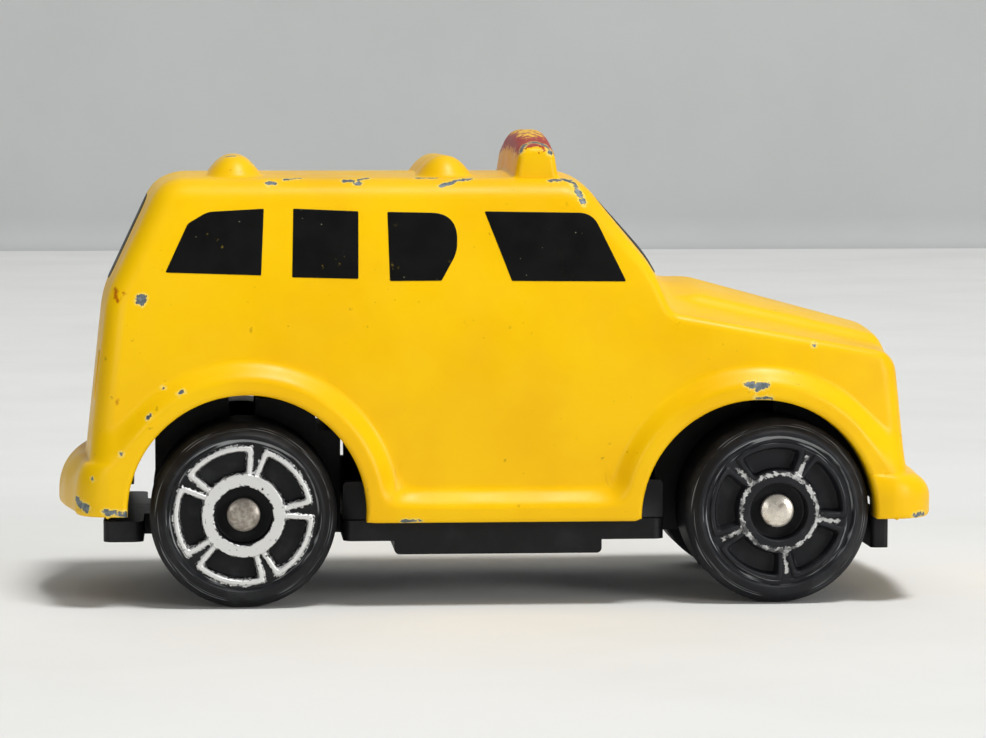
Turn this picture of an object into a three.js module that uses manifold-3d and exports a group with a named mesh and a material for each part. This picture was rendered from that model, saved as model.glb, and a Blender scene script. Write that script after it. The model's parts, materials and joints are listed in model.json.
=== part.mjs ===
// A small die-cast toy sport utility vehicle, in millimetres: +X forward, +Y to its left, +Z up.
// A hollow zinc body shell is riveted to a moulded chassis, which carries two snap-in wire axles
// and four one-piece wheels. Lengths along X are worked out from the two axles.
import * as THREE from 'three';
import Module from 'manifold-3d';
import { mergeVertices } from 'three/addons/utils/BufferGeometryUtils.js';

const wasm = await Module();
wasm.setup();
const { degToRad, smoothstep, lerp } = THREE.MathUtils;

// Wheels
const WHEEL_RADIUS = 5.5;
const WHEEL_WIDTH = 6.0;
const WHEEL_SIDES = 28;
const TRACK_HALF = 11.1;
const WHEELBASE = 31.4;
const TYRE_WALL = 1.1;
const TYRE_SHOULDER = 0.75;
const FACE_DROP = 0.25;
const HUB_RING_INNER = 1.7;
const HUB_RING_OUTER = 2.4;
const HUB_RECESS_DEPTH = 1.3;
const RIDGE_WIDTH = 0.36;
const RIDGE_HEIGHT = 0.17;
const RIDGE_MARGIN = 0.2;
const POCKET_COUNT = 5;
const POCKET_DEPTH = 0.55;
const POCKET_CORNER = 0.3;
const SPOKE_ANGLE = 18.7;
const WHEEL_DISC = 1.5;
const WHEEL_BOSS = 0.4;
const HUB_TUBE_WALL = 0.9;
const RIM_WALL = 1.3;
const REAR_SPOKE_ANGLE = 5;
const FRONT_SPOKE_ANGLE = -10;

// Axles, with a head at each end
const AXLE_RADIUS = 0.6;
const AXLE_SIDES = 16;
const HEAD_RADIUS = 1.0;
const HEAD_THICKNESS = 0.55;
const HEAD_DOME = 0.18;
const BORE_CLEARANCE = 0.08;
const BEARING_CLEARANCE = 0.06;
const END_PLAY = 0.1;

// Body casting: heights above the floor
const SILL_HEIGHT = 4.97;
const REAR_RIM_HEIGHT = 5.4;
const BELLY_HEIGHT = 12.0;
const REAR_BELT_HEIGHT = 18.2;
const ROOF_HEIGHT = 25.05;
const PILLAR_BEND_HEIGHT = 19.65;
const COWL_HEIGHT = 17.2;
const NOSE_HEIGHT = 14.7;

// Body casting: lengths beyond the wheels, in from the end faces, and behind the front axle
const REAR_OVERHANG = 3.5;
const REAR_BELT_SET_IN = 1.05;
const ROOF_REAR_SET_IN = 4.28;
const ROOF_FRONT_BEHIND = 11.46;
const PILLAR_BEND_BEHIND = 7.28;
const COWL_BEHIND = 6.23;
const NOSE_SET_BACK = 0.78;
const FRONT_OVERHANG = 2.38;

// Body casting: widths, crowns and radii
const BODY_HALF_WIDTH = 10.6;
const TUMBLEHOME = 2.1;
const TUCK_UNDER = 0.3;
const NOSE_TAPER = 0.7;
const TAIL_TAPER = 0.3;
const TAPER_LENGTH = 10.0;
const WALL = 1.25;
const EDGE_RADIUS = 1.3;
const HOOD_EDGE_RADIUS = 0.6;
const NOSE_EDGE_RADIUS = 1.0;
const BELT_RADIUS = 6.0;
const ROOF_REAR_RADIUS = 2.2;
const ROOF_FRONT_RADIUS = 2.6;
const PILLAR_RADIUS = 8.0;
const COWL_RADIUS = 0.9;
const COWL_BLEND = 2.4;
const NOSE_RADIUS = 1.6;
const ROOF_CROWN = 0.5;
const REAR_BOW = 0.6;
const SCREEN_BOW = 0.7;
const COWL_CROWN = 1.75;
const CROWN_POWER = 1.5;
const HOOD_CROWN = 0.65;
const NOSE_BOW = 0.5;
const BUMPER_BOW = 0.8;

// Raised bonnet panel
const PANEL_HALF_WIDTH = 5.9;
const PANEL_HEIGHT = 0.45;
const PANEL_EDGE = 0.8;

// Wheel-arch flares, sills and bumpers, raised along the lower edge
const ARCH_GAP = 1.46;
const REAR_ARCH_OFFSET = 0.22;
const REAR_ARCH_RISE = 0.08;
const FRONT_ARCH_OFFSET = -1.14;
const FRONT_ARCH_RISE = -0.35;
const FLARE_DEPTH = 0.85;
const FLARE_FLAT = 0.8;
const FLARE_WIDTH = 2.1;
const FLARE_BLEND = 1.2;
const FLARE_WRAP = 0.6;
const REAR_BUMPER_DEPTH = 0.85;
const FRONT_BUMPER_DEPTH = 1.45;
const BUMPER_SHOULDER_HEIGHT = 6.4;
const REAR_BUMPER_TOP_HEIGHT = 9.6;
const FRONT_BUMPER_TOP_HEIGHT = 8.2;

// Roof bars and light bar, cast on the roof
const BAR_END_GAP = 1.9;
const BAR_HALF_WIDTH = 1.5;
const BAR_HEIGHT = 0.95;
const REAR_BAR_SETBACK = 4.3;
const FRONT_BAR_SETBACK = 7.9;
const LIGHT_BAR_END_GAP = 0.9;
const LIGHT_BAR_HALF_WIDTH = 1.3;
const LIGHT_BAR_TOP_HALF_WIDTH = 0.85;
const LIGHT_BAR_HEIGHT = 2.5;
const LIGHT_BAR_END_DROP = 0.75;
const LIGHT_BAR_SETBACK = 2.55;

// Relief cast on the nose and the tail
const LAMP_RADIUS = 1.6;
const LAMP_BEZEL = 0.35;
const LAMP_HEIGHT = 11.6;
const LAMP_SIDE_GAP = 4.2;
const TAIL_LAMP_HALF_WIDTH = 0.75;
const TAIL_LAMP_HALF_HEIGHT = 1.5;
const TAIL_LAMP_HEIGHT = 13.6;
const TAIL_LAMP_SIDE_GAP = 2.6;
const LAMP_RELIEF = 0.15;
const TAIL_LAMP_RELIEF = 0.25;
const GRILLE_SLOTS = 4;
const GRILLE_PITCH = 0.9;
const GRILLE_SLOT_HEIGHT = 0.45;
const GRILLE_LAMP_GAP = 0.7;
const GRILLE_DEPTH = 0.45;

// Posts of the casting, and the rivets that close the chassis onto them
const POST_RADIUS = 1.45;
const REAR_POST_GAP = 2.1;
const FRONT_POST_GAP = 2.4;
const RIVET_RADIUS = 0.8;
const RIVET_GRIP = 4.0;
const RIVET_HEAD_RADIUS = 1.4;
const RIVET_HEAD_THICKNESS = 0.5;
const RIVET_CLEARANCE = 0.1;
const RIVET_SINK = 0.65;

// Chassis moulding
const FLOOR_HEIGHT = 3.75;
const BLOCK_HEIGHT = 2.95;
const SKID_HEIGHT = 3.05;
const FLOOR_SET_IN = 1.2;
const END_SET_IN = 1.7;
const LINER_WALL = 1.1;
const LINER_HEIGHT = 11.8;
const REAR_LINER_BACK = 5.2;
const REAR_LINER_AHEAD = 4.4;
const FRONT_LINER_BACK = 6.6;
const FRONT_LINER_AHEAD = 6.4;
const BULKHEAD_HEIGHT = 9.9;
const LINER_CORNER = 1.4;
const UPSTAND_WALL = 0.9;
const UPSTAND_HEIGHT = 7.2;
const SHELL_CLEARANCE = 0.3;
const WHEEL_CLEARANCE = 0.35;
const WHEEL_SIDE_PLAY = 0.2;
const FLOOR_FRONT_GAP = 1.1;
const TAIL_SET_IN = 0.8;
const SKID_SET_BACK = 0.98;
const BLOCK_REAR_GAP = 3.0;
const BLOCK_FRONT_GAP = 3.7;
const MOULD_CORNER = 0.6;
const SNAP_MOUTH = 1.0;
const SNAP_LEAD = 1.7;
const CUT_MARGIN = 1.0;

// How finely the surfaces are divided: shares of a stretch, degrees of a turn, and counts
const FLARE_SHARES = [0, 0.4, 0.7];
const SIDE_SHARES = [0, 0.33, 0.67, 1];
const EDGE_TURNS = [60, 30, 0];
const SKIN_SHARES = [0.78, 0.66, 0.33];
const HOLLOW_SHARES = [0, 0.35, 0.7, 1];
const HOLLOW_CROWN_SHARE = 0.75;
const HOLLOW_STATIONS = 24;
const BAR_TURNS = [0, 30, 60, 90, 120, 150, 180];
const LIGHT_BAR_TURNS = [0, 45, 90, 135, 180];
const BAR_STATIONS = [0, 0.5, 0.9, 0.96, 1];
const BAR_FULLNESS = [1, 1, 1, 0.85, 0.55];
const ROUND_SIDES = 16;
const CURVE_STEPS = 3;
const SLOT_STEPS = 12;
const PATH_STEPS = 800;
const WELD = 1e-4;

// The forward part of the skin's normal at which a top starts to turn into an end, and is one
const TOP_LEAN = 0.3;
const END_LEAN = 0.9;

// Places that follow from the dimensions
const REAR_AXLE_X = -WHEELBASE / 2;
const FRONT_AXLE_X = WHEELBASE / 2;
const AXLE_HEIGHT = WHEEL_RADIUS * Math.cos(Math.PI / WHEEL_SIDES);
const ARCH_RADIUS = WHEEL_RADIUS + ARCH_GAP;
const REAR_ARCH = new THREE.Vector2(REAR_AXLE_X + REAR_ARCH_OFFSET, AXLE_HEIGHT + REAR_ARCH_RISE);
const FRONT_ARCH = new THREE.Vector2(FRONT_AXLE_X + FRONT_ARCH_OFFSET, AXLE_HEIGHT + FRONT_ARCH_RISE);
const REAR_FACE_X = REAR_AXLE_X - WHEEL_RADIUS - REAR_OVERHANG;
const FRONT_FACE_X = FRONT_AXLE_X + WHEEL_RADIUS + FRONT_OVERHANG;
const ROOF_REAR_X = REAR_FACE_X + ROOF_REAR_SET_IN;
const ROOF_FRONT_X = FRONT_AXLE_X - ROOF_FRONT_BEHIND;
const COWL_X = FRONT_AXLE_X - COWL_BEHIND;
const PILLAR_BEND_X = FRONT_AXLE_X - PILLAR_BEND_BEHIND;
const NOSE_X = FRONT_FACE_X - NOSE_SET_BACK;
const ROOF_HALF_WIDTH = BODY_HALF_WIDTH - TUMBLEHOME;
const LAMP_SPREAD = BODY_HALF_WIDTH - LAMP_SIDE_GAP;
const TAIL_LAMP_SPREAD = BODY_HALF_WIDTH - TAIL_LAMP_SIDE_GAP;
const FLOOR_HALF_WIDTH = BODY_HALF_WIDTH - FLOOR_SET_IN;
const END_HALF_WIDTH = BODY_HALF_WIDTH - END_SET_IN;
const SPINE_HALF_WIDTH = TRACK_HALF - WHEEL_WIDTH - WHEEL_BOSS - WHEEL_SIDE_PLAY;
const REAR_POST_X = REAR_AXLE_X + WHEEL_RADIUS + REAR_POST_GAP;
const FRONT_POST_X = FRONT_AXLE_X - WHEEL_RADIUS - FRONT_POST_GAP;

// A closed geometry as a solid for joining and cutting.
function solid(geometry) {
  const bare = new THREE.BufferGeometry();
  bare.setAttribute('position', geometry.getAttribute('position'));
  bare.setIndex(geometry.getIndex());
  const merged = mergeVertices(bare, WELD);
  const corners = merged.getIndex().array;
  const kept = [];
  for (let i = 0; i < corners.length; i += 3) {
    const [a, b, c] = corners.slice(i, i + 3);
    if (a !== b && b !== c && c !== a) kept.push(a, b, c);
  }
  const vertProperties = new Float32Array(merged.getAttribute('position').array);
  return new wasm.Manifold(new wasm.Mesh({ numProp: 3, vertProperties, triVerts: new Uint32Array(kept) }));
}

// A named mesh of a finished solid.
function piece(name, body, material) {
  const { vertProperties, triVerts } = body.getMesh();
  const geometry = new THREE.BufferGeometry();
  geometry.setAttribute('position', new THREE.BufferAttribute(new Float32Array(vertProperties), 3));
  geometry.setIndex(new THREE.BufferAttribute(new Uint32Array(triVerts), 1));
  geometry.computeVertexNormals();
  const mesh = new THREE.Mesh(geometry, material);
  mesh.name = name;
  return mesh;
}

// A skin over closed rings of equal length, with both flat ends filled.
function loft(rings) {
  const size = rings[0].length;
  const position = rings.flat().flatMap((point) => point.toArray());
  const index = [];
  const last = (rings.length - 1) * size;
  for (let ring = 0; ring < last; ring += size) {
    for (let j = 0; j < size; j++) {
      const next = (j + 1) % size;
      index.push(ring + j, ring + size + j, ring + next);
      index.push(ring + next, ring + size + j, ring + size + next);
    }
  }
  for (let j = 1; j < size - 1; j++) {
    index.push(0, j, j + 1);
    index.push(last, last + j + 1, last + j);
  }
  const geometry = new THREE.BufferGeometry();
  geometry.setAttribute('position', new THREE.Float32BufferAttribute(position, 3));
  geometry.setIndex(index);
  return geometry;
}

// An outline drawn looking along the floor from the right side (x, z), extruded from y0 to y1.
function sideExtrusion(shape, y0, y1, curveSegments = CURVE_STEPS) {
  const options = { depth: y1 - y0, bevelEnabled: false, curveSegments };
  return solid(new THREE.ExtrudeGeometry(shape, options).rotateX(Math.PI / 2).translate(0, y1, 0));
}

// An outline drawn from above (x, y), extruded from z0 to z1.
function planExtrusion(shape, z0, z1) {
  const options = { depth: z1 - z0, bevelEnabled: false, curveSegments: CURVE_STEPS };
  return solid(new THREE.ExtrudeGeometry(shape, options).translate(0, 0, z0));
}

// An outline drawn on an end face (across, up) about a place, extruded along the face's normal.
function faceExtrusion(shape, place, normal, depth0, depth1) {
  const options = { depth: depth1 - depth0, bevelEnabled: false, curveSegments: CURVE_STEPS };
  const across = new THREE.Vector3(-normal.y, normal.x, 0).normalize();
  const turn = new THREE.Matrix4().makeBasis(across, normal.clone().cross(across), normal);
  const geometry = new THREE.ExtrudeGeometry(shape, options).translate(0, 0, depth0);
  return solid(geometry.applyMatrix4(turn.setPosition(place)));
}

// A turned profile of (radius, height) points on an upright axis.
function turned(points, sides) {
  const profile = points.map(([radius, height]) => new THREE.Vector2(radius, height));
  return new THREE.LatheGeometry(profile, sides, Math.PI / sides);
}

// A rectangle with rounded corners.
function roundedRectangle(x0, y0, x1, y1, radius) {
  const shape = new THREE.Shape();
  shape.moveTo(x0 + radius, y0);
  shape.lineTo(x1 - radius, y0);
  shape.absarc(x1 - radius, y0 + radius, radius, -Math.PI / 2, 0);
  shape.absarc(x1 - radius, y1 - radius, radius, 0, Math.PI / 2);
  shape.absarc(x0 + radius, y1 - radius, radius, Math.PI / 2, Math.PI);
  shape.absarc(x0 + radius, y0 + radius, radius, Math.PI, Math.PI * 1.5);
  return shape;
}

// Straight lines through corners [x, z, radius], each inner corner rounded off.
function roundedPath(corners) {
  const path = new THREE.Path();
  const points = corners.map(([x, z]) => new THREE.Vector2(x, z));
  path.moveTo(points[0].x, points[0].y);
  for (let i = 1; i < points.length - 1; i++) {
    const back = points[i - 1].clone().sub(points[i]).normalize();
    const ahead = points[i + 1].clone().sub(points[i]).normalize();
    const trim = corners[i][2] / Math.tan(back.angleTo(ahead) / 2);
    const start = points[i].clone().addScaledVector(back, trim);
    const end = points[i].clone().addScaledVector(ahead, trim);
    path.lineTo(start.x, start.y);
    path.quadraticCurveTo(points[i].x, points[i].y, end.x, end.y);
  }
  path.lineTo(points.at(-1).x, points.at(-1).y);
  return path;
}

// The share of a path's length at its point nearest to a target.
function shareNearest(path, target) {
  let best = 0;
  let bestDistance = Infinity;
  for (let i = 0; i <= PATH_STEPS; i++) {
    const distance = path.getPoint(i / PATH_STEPS).distanceTo(target);
    if (distance < bestDistance) {
      bestDistance = distance;
      best = i / PATH_STEPS;
    }
  }
  return best;
}

// A path's point and its unit normal to the left of its travel, averaged over a share of its length.
function pointAndNormal(path, share, span = 1e-4) {
  const before = path.getPoint(Math.max(0, share - span));
  const after = path.getPoint(Math.min(1, share + span));
  const tangent = after.sub(before).normalize();
  return { point: path.getPoint(share), normal: new THREE.Vector2(-tangent.y, tangent.x) };
}

// The profile of the casting from the rear rim over the roof to the front rim, moved in by a wall.
function profilePath(wall, rearRim, frontRim) {
  return roundedPath([
    [REAR_FACE_X + wall, rearRim],
    [REAR_FACE_X + wall, REAR_BUMPER_TOP_HEIGHT, BELT_RADIUS],
    [REAR_FACE_X + REAR_BELT_SET_IN + wall, REAR_BELT_HEIGHT, BELT_RADIUS],
    [ROOF_REAR_X + wall / 2, ROOF_HEIGHT - wall, ROOF_REAR_RADIUS],
    [ROOF_FRONT_X - wall / 2, ROOF_HEIGHT - wall, ROOF_FRONT_RADIUS],
    [PILLAR_BEND_X - wall, PILLAR_BEND_HEIGHT - wall / 2, PILLAR_RADIUS],
    [COWL_X - wall, COWL_HEIGHT - wall, COWL_RADIUS],
    [NOSE_X - wall, NOSE_HEIGHT - wall, NOSE_RADIUS],
    [FRONT_FACE_X - wall, FRONT_BUMPER_TOP_HEIGHT, BELT_RADIUS],
    [FRONT_FACE_X - wall, frontRim],
  ]);
}

// The lower edge of a side: rear rim, arch, sill, arch and front rim.
function lowerEdgePath() {
  const base = (arch, height) => Math.asin((height - arch.y) / ARCH_RADIUS);
  const path = new THREE.Path();
  path.moveTo(REAR_FACE_X + EDGE_RADIUS, REAR_RIM_HEIGHT);
  const rearStart = Math.PI - base(REAR_ARCH, REAR_RIM_HEIGHT);
  path.absarc(REAR_ARCH.x, REAR_ARCH.y, ARCH_RADIUS, rearStart, base(REAR_ARCH, SILL_HEIGHT), true);
  const frontBase = base(FRONT_ARCH, SILL_HEIGHT);
  path.absarc(FRONT_ARCH.x, FRONT_ARCH.y, ARCH_RADIUS, Math.PI - frontBase, frontBase, true);
  path.lineTo(FRONT_FACE_X - NOSE_EDGE_RADIUS, SILL_HEIGHT);
  return path;
}

// Half the width of the plain side at a place: fullest at the belly, drawn in to roof, sill and ends.
function sideHalfWidth(x, z) {
  const above = Math.max(0, z - BELLY_HEIGHT) / (ROOF_HEIGHT - BELLY_HEIGHT);
  const below = Math.max(0, BELLY_HEIGHT - z) / (BELLY_HEIGHT - SILL_HEIGHT);
  const ahead = Math.max(0, x - (FRONT_FACE_X - TAPER_LENGTH)) / TAPER_LENGTH;
  const behind = Math.max(0, REAR_FACE_X + TAPER_LENGTH - x) / TAPER_LENGTH;
  const drawnIn = TUMBLEHOME * above ** 2 + TUCK_UNDER * below ** 2;
  return BODY_HALF_WIDTH - drawnIn - NOSE_TAPER * ahead ** 2 - TAIL_TAPER * behind ** 2;
}

// The lesser of two distances, with the corner between them blended.
function blendedLeast(a, b) {
  const mix = THREE.MathUtils.clamp(0.5 + (b - a) / (2 * FLARE_BLEND), 0, 1);
  return lerp(b, a, mix) - FLARE_BLEND * mix * (1 - mix);
}

// How fully a bumper stands out at a height: wholly up to its shoulder, then rounded off to its top.
function bumperShare(z, top) {
  const above = (z - BUMPER_SHOULDER_HEIGHT) / (top - BUMPER_SHOULDER_HEIGHT);
  return Math.sqrt(1 - THREE.MathUtils.clamp(above, 0, 1) ** 2);
}

// How far the flares, sills and bumpers stand out of the plain body at a place. The flares run on round the
// corners of the body and fade out there as the side's share of the surface falls from 1 to 0.
function raised(x, z, sideShare) {
  const reach = ARCH_RADIUS + FLARE_WRAP;
  const along = THREE.MathUtils.clamp(x, REAR_ARCH.x - reach, FRONT_ARCH.x + reach);
  const place = new THREE.Vector2(along, z);
  const toArch = Math.min(place.distanceTo(REAR_ARCH), place.distanceTo(FRONT_ARCH)) - ARCH_RADIUS;
  const toEdge = blendedLeast(toArch, z - SILL_HEIGHT);
  const flare = sideShare * FLARE_DEPTH * (1 - smoothstep(toEdge, FLARE_FLAT, FLARE_WIDTH));
  const behind = REAR_ARCH.x - ARCH_RADIUS - x;
  const ahead = x - FRONT_ARCH.x - ARCH_RADIUS;
  const rear = bumperShare(z, REAR_BUMPER_TOP_HEIGHT) * smoothstep(behind, -EDGE_RADIUS, EDGE_RADIUS);
  const front = bumperShare(z, FRONT_BUMPER_TOP_HEIGHT) * smoothstep(ahead, -EDGE_RADIUS, EDGE_RADIUS);
  return lerp(lerp(flare, REAR_BUMPER_DEPTH, rear), FRONT_BUMPER_DEPTH, front);
}

// How far the bonnet has turned down into the nose at a place of the profile.
function noseShare(point, normal) {
  return smoothstep(normal.x, TOP_LEAN, END_LEAN) * smoothstep(point.x, COWL_X, NOSE_X);
}

// How the middle of the skin is crowned: outwards along the profile's normal, but straight up on the bonnet.
function crown(point, normal) {
  const outwards = (bow) => normal.clone().multiplyScalar(bow);
  if (point.x < ROOF_FRONT_X) {
    const rearBow = REAR_BOW + BUMPER_BOW * bumperShare(point.y, REAR_BUMPER_TOP_HEIGHT);
    return outwards(lerp(ROOF_CROWN, rearBow, smoothstep(-normal.x, TOP_LEAN, END_LEAN)));
  }
  if (point.x < COWL_X) {
    const screen = outwards(lerp(ROOF_CROWN, SCREEN_BOW, smoothstep(point.x, ROOF_FRONT_X, PILLAR_BEND_X)));
    return screen.lerp(new THREE.Vector2(0, COWL_CROWN), smoothstep(point.x, PILLAR_BEND_X, COWL_X));
  }
  const ahead = THREE.MathUtils.clamp((point.x - COWL_X) / (NOSE_X - COWL_X), 0, 1);
  const hood = new THREE.Vector2(0, lerp(COWL_CROWN, HOOD_CROWN, ahead));
  return hood.lerp(outwards(NOSE_BOW), noseShare(point, normal));
}

// How far the bonnet panel is raised at a place across the skin.
function panelRise(point, normal, y) {
  const pastCowl = smoothstep(point.x, COWL_X, COWL_X + COWL_BLEND);
  const along = pastCowl * (1 - noseShare(point, normal));
  const across = 1 - smoothstep(Math.abs(y), PANEL_HALF_WIDTH, PANEL_HALF_WIDTH + PANEL_EDGE);
  return PANEL_HEIGHT * along * across;
}

// The radius between side and skin: full on the roof, tight along the bonnet, fuller down the nose.
function edgeRadius({ point, normal }) {
  const pillar = lerp(EDGE_RADIUS, HOOD_EDGE_RADIUS, smoothstep(point.x, ROOF_FRONT_X, COWL_X));
  if (point.x < COWL_X) return pillar;
  return lerp(HOOD_EDGE_RADIUS, NOSE_EDGE_RADIUS, noseShare(point, normal));
}

// One closed ring of the outer body: up the right side, over the edge radius, across and down the left.
function outerRing(profile, lower) {
  const radius = edgeRadius(profile);
  const inset = profile.point.clone().addScaledVector(profile.normal, -radius);
  const band = Math.min(FLARE_WIDTH, inset.distanceTo(lower.point) / 2);
  const flareTop = lower.point.clone().addScaledVector(lower.normal, band);
  const places = [
    ...FLARE_SHARES.map((share) => lower.point.clone().lerp(flareTop, share)),
    ...SIDE_SHARES.map((share) => flareTop.clone().lerp(inset, share)),
  ];
  const side = places.map(({ x, y: z }) => new THREE.Vector3(x, sideHalfWidth(x, z) + raised(x, z, 1), z));
  const edge = EDGE_TURNS.map((degrees) => {
    const turn = degToRad(degrees);
    const place = inset.clone().addScaledVector(profile.normal, radius * Math.cos(turn));
    const out = raised(place.x, place.y, Math.sin(turn) ** 2);
    const y = sideHalfWidth(place.x, place.y) - radius * (1 - Math.sin(turn)) + out * Math.sin(turn);
    place.addScaledVector(profile.normal, out * Math.cos(turn));
    return new THREE.Vector3(place.x, y, place.y);
  });
  const flat = sideHalfWidth(profile.point.x, profile.point.y) - radius;
  const out = raised(profile.point.x, profile.point.y, 0);
  const lift = crown(profile.point, profile.normal);
  const onSkin = (share) => {
    const y = flat * share;
    const place = profile.point.clone().addScaledVector(lift, (1 - share ** 2) ** CROWN_POWER);
    place.addScaledVector(profile.normal, out + panelRise(profile.point, profile.normal, y));
    return new THREE.Vector3(place.x, y, place.y);
  };
  const left = [...side, ...edge, ...SKIN_SHARES.map(onSkin)];
  const right = left.map((point) => new THREE.Vector3(point.x, -point.y, point.z));
  return [...right, onSkin(0), ...left.reverse()];
}

// The outer body as rings that pair stretches of the profile with stretches of the lower edge.
function outerBody() {
  const profile = profilePath(0, REAR_RIM_HEIGHT, SILL_HEIGHT);
  const lower = lowerEdgePath();
  const onArch = (arch, degrees) => {
    const angle = degToRad(degrees);
    return new THREE.Vector2(Math.cos(angle), Math.sin(angle)).multiplyScalar(ARCH_RADIUS).add(arch);
  };
  const at = (x, z) => new THREE.Vector2(x, z);
  const onRoof = (share) => at(lerp(ROOF_REAR_X, ROOF_FRONT_X, share), ROOF_HEIGHT);
  const pairs = [
    { top: at(REAR_FACE_X, REAR_BUMPER_TOP_HEIGHT), edge: onArch(REAR_ARCH, 180), stations: 6 },
    { top: at(REAR_FACE_X, BELLY_HEIGHT), edge: onArch(REAR_ARCH, 160), stations: 2 },
    { top: onRoof(0), edge: onArch(REAR_ARCH, 110), stations: 7 },
    { top: onRoof(0.32), edge: onArch(REAR_ARCH, 80), stations: 3 },
    { top: onRoof(0.56), edge: onArch(REAR_ARCH, 0), stations: 6 },
    { top: onRoof(0.94), edge: onArch(FRONT_ARCH, 180), stations: 4 },
    { top: at(COWL_X, COWL_HEIGHT), edge: onArch(FRONT_ARCH, 125), stations: 8 },
    { top: at(FRONT_ARCH.x, COWL_HEIGHT), edge: onArch(FRONT_ARCH, 90), stations: 3 },
    { top: at(NOSE_X, NOSE_HEIGHT), edge: onArch(FRONT_ARCH, 35), stations: 5 },
    { top: at(FRONT_FACE_X, FRONT_BUMPER_TOP_HEIGHT), edge: onArch(FRONT_ARCH, 0), stations: 5 },
    { top: at(FRONT_FACE_X, SILL_HEIGHT), edge: at(FRONT_FACE_X, SILL_HEIGHT), stations: 5 },
  ];
  const span = FLARE_WIDTH / lower.getLength();
  const start = pointAndNormal(profile, 0);
  const rings = [outerRing(start, pointAndNormal(lower, 0, span))];
  let topShare = 0;
  let edgeShare = 0;
  for (const { top, edge, stations } of pairs) {
    const topEnd = shareNearest(profile, top);
    const edgeEnd = shareNearest(lower, edge);
    for (let i = 1; i <= stations; i++) {
      const topHere = pointAndNormal(profile, lerp(topShare, topEnd, i / stations));
      const edgeHere = pointAndNormal(lower, lerp(edgeShare, edgeEnd, i / stations), span);
      rings.push(outerRing(topHere, edgeHere));
    }
    topShare = topEnd;
    edgeShare = edgeEnd;
  }
  return solid(loft(rings));
}

// The hollow of the casting, open below: the profile moved in by the wall, as wide as the side less the wall.
function hollow() {
  const below = SILL_HEIGHT - WALL;
  const profile = profilePath(WALL, below, below);
  const rings = [];
  for (let i = 0; i <= HOLLOW_STATIONS; i++) {
    const { point, normal } = pointAndNormal(profile, i / HOLLOW_STATIONS);
    const share = (point.x - REAR_FACE_X) / (FRONT_FACE_X - REAR_FACE_X);
    const foot = new THREE.Vector2(lerp(REAR_FACE_X + WALL, FRONT_FACE_X - WALL, share), below);
    const left = HOLLOW_SHARES.map((share) => {
      const place = foot.clone().lerp(point, share);
      const corner = share < 1 ? 0 : EDGE_RADIUS / 3;
      return new THREE.Vector3(place.x, sideHalfWidth(place.x, place.y) - WALL - corner, place.y);
    });
    const middle = point.clone().addScaledVector(crown(point, normal), HOLLOW_CROWN_SHARE);
    const right = left.map((place) => new THREE.Vector3(place.x, -place.y, place.z));
    rings.push([...right, new THREE.Vector3(middle.x, 0, middle.y), ...left.reverse()]);
  }
  return solid(loft(rings));
}

// A bar across the roof, its section (x, z above the roof) drawn in at both ends.
function roofBar(x, section, halfLength, endDrop) {
  const half = BAR_STATIONS.map((share, i) => [share, BAR_FULLNESS[i]]);
  const stations = [...half.slice(1).reverse().map(([share, fullness]) => [-share, fullness]), ...half];
  const foot = ROOF_HEIGHT - WALL / 2;
  const rings = stations.map(([share, fullness]) => section.map(([dx, dz]) => {
    const roof = ROOF_HEIGHT + ROOF_CROWN * (1 - share ** 2);
    const height = roof + Math.max(0, dz * fullness) - endDrop * share ** 2;
    return new THREE.Vector3(x + dx * fullness, halfLength * share, dz < 0 ? foot : height);
  }));
  return solid(loft(rings));
}

// The section of a half-round roof bar, and of the taller light bar with its rounded top.
function halfRoundSection() {
  const arc = BAR_TURNS.map((degrees) => {
    const turn = degToRad(degrees);
    return [BAR_HALF_WIDTH * Math.cos(turn), BAR_HEIGHT * Math.sin(turn)];
  });
  return [...arc, [-BAR_HALF_WIDTH, -1], [BAR_HALF_WIDTH, -1]];
}

function lightBarSection() {
  const shoulder = LIGHT_BAR_HEIGHT - LIGHT_BAR_TOP_HALF_WIDTH;
  const arc = LIGHT_BAR_TURNS.map((degrees) => {
    const turn = degToRad(degrees);
    const rise = LIGHT_BAR_TOP_HALF_WIDTH * Math.sin(turn);
    return [LIGHT_BAR_TOP_HALF_WIDTH * Math.cos(turn), shoulder + rise];
  });
  const foot = LIGHT_BAR_HALF_WIDTH;
  return [[foot, 0], ...arc, [-foot, 0], [-foot, -1], [foot, -1]];
}

// An upright round post or hole.
function upright(radius, x, z0, z1) {
  const outline = [[0, 0], [radius, 0], [radius, z1 - z0], [0, z1 - z0]];
  return solid(turned(outline, ROUND_SIDES).rotateX(Math.PI / 2).translate(x, 0, z0));
}

// A place on the nose or tail, at a height and a distance across, with the skin's normal there.
function onEndFace(profile, x, z, y) {
  const { point, normal } = pointAndNormal(profile, shareNearest(profile, new THREE.Vector2(x, z)));
  const flat = sideHalfWidth(point.x, point.y) - edgeRadius({ point, normal });
  const share = y / flat;
  const lift = crown(point, normal);
  const slope = 2 * CROWN_POWER * share * (1 - share ** 2) ** (CROWN_POWER - 1);
  const lean = lift.length() * slope / flat;
  point.addScaledVector(lift, (1 - share ** 2) ** CROWN_POWER);
  const facing = new THREE.Vector3(normal.x, lean, normal.y).normalize();
  return { place: new THREE.Vector3(point.x, y, point.y), normal: facing };
}

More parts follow.
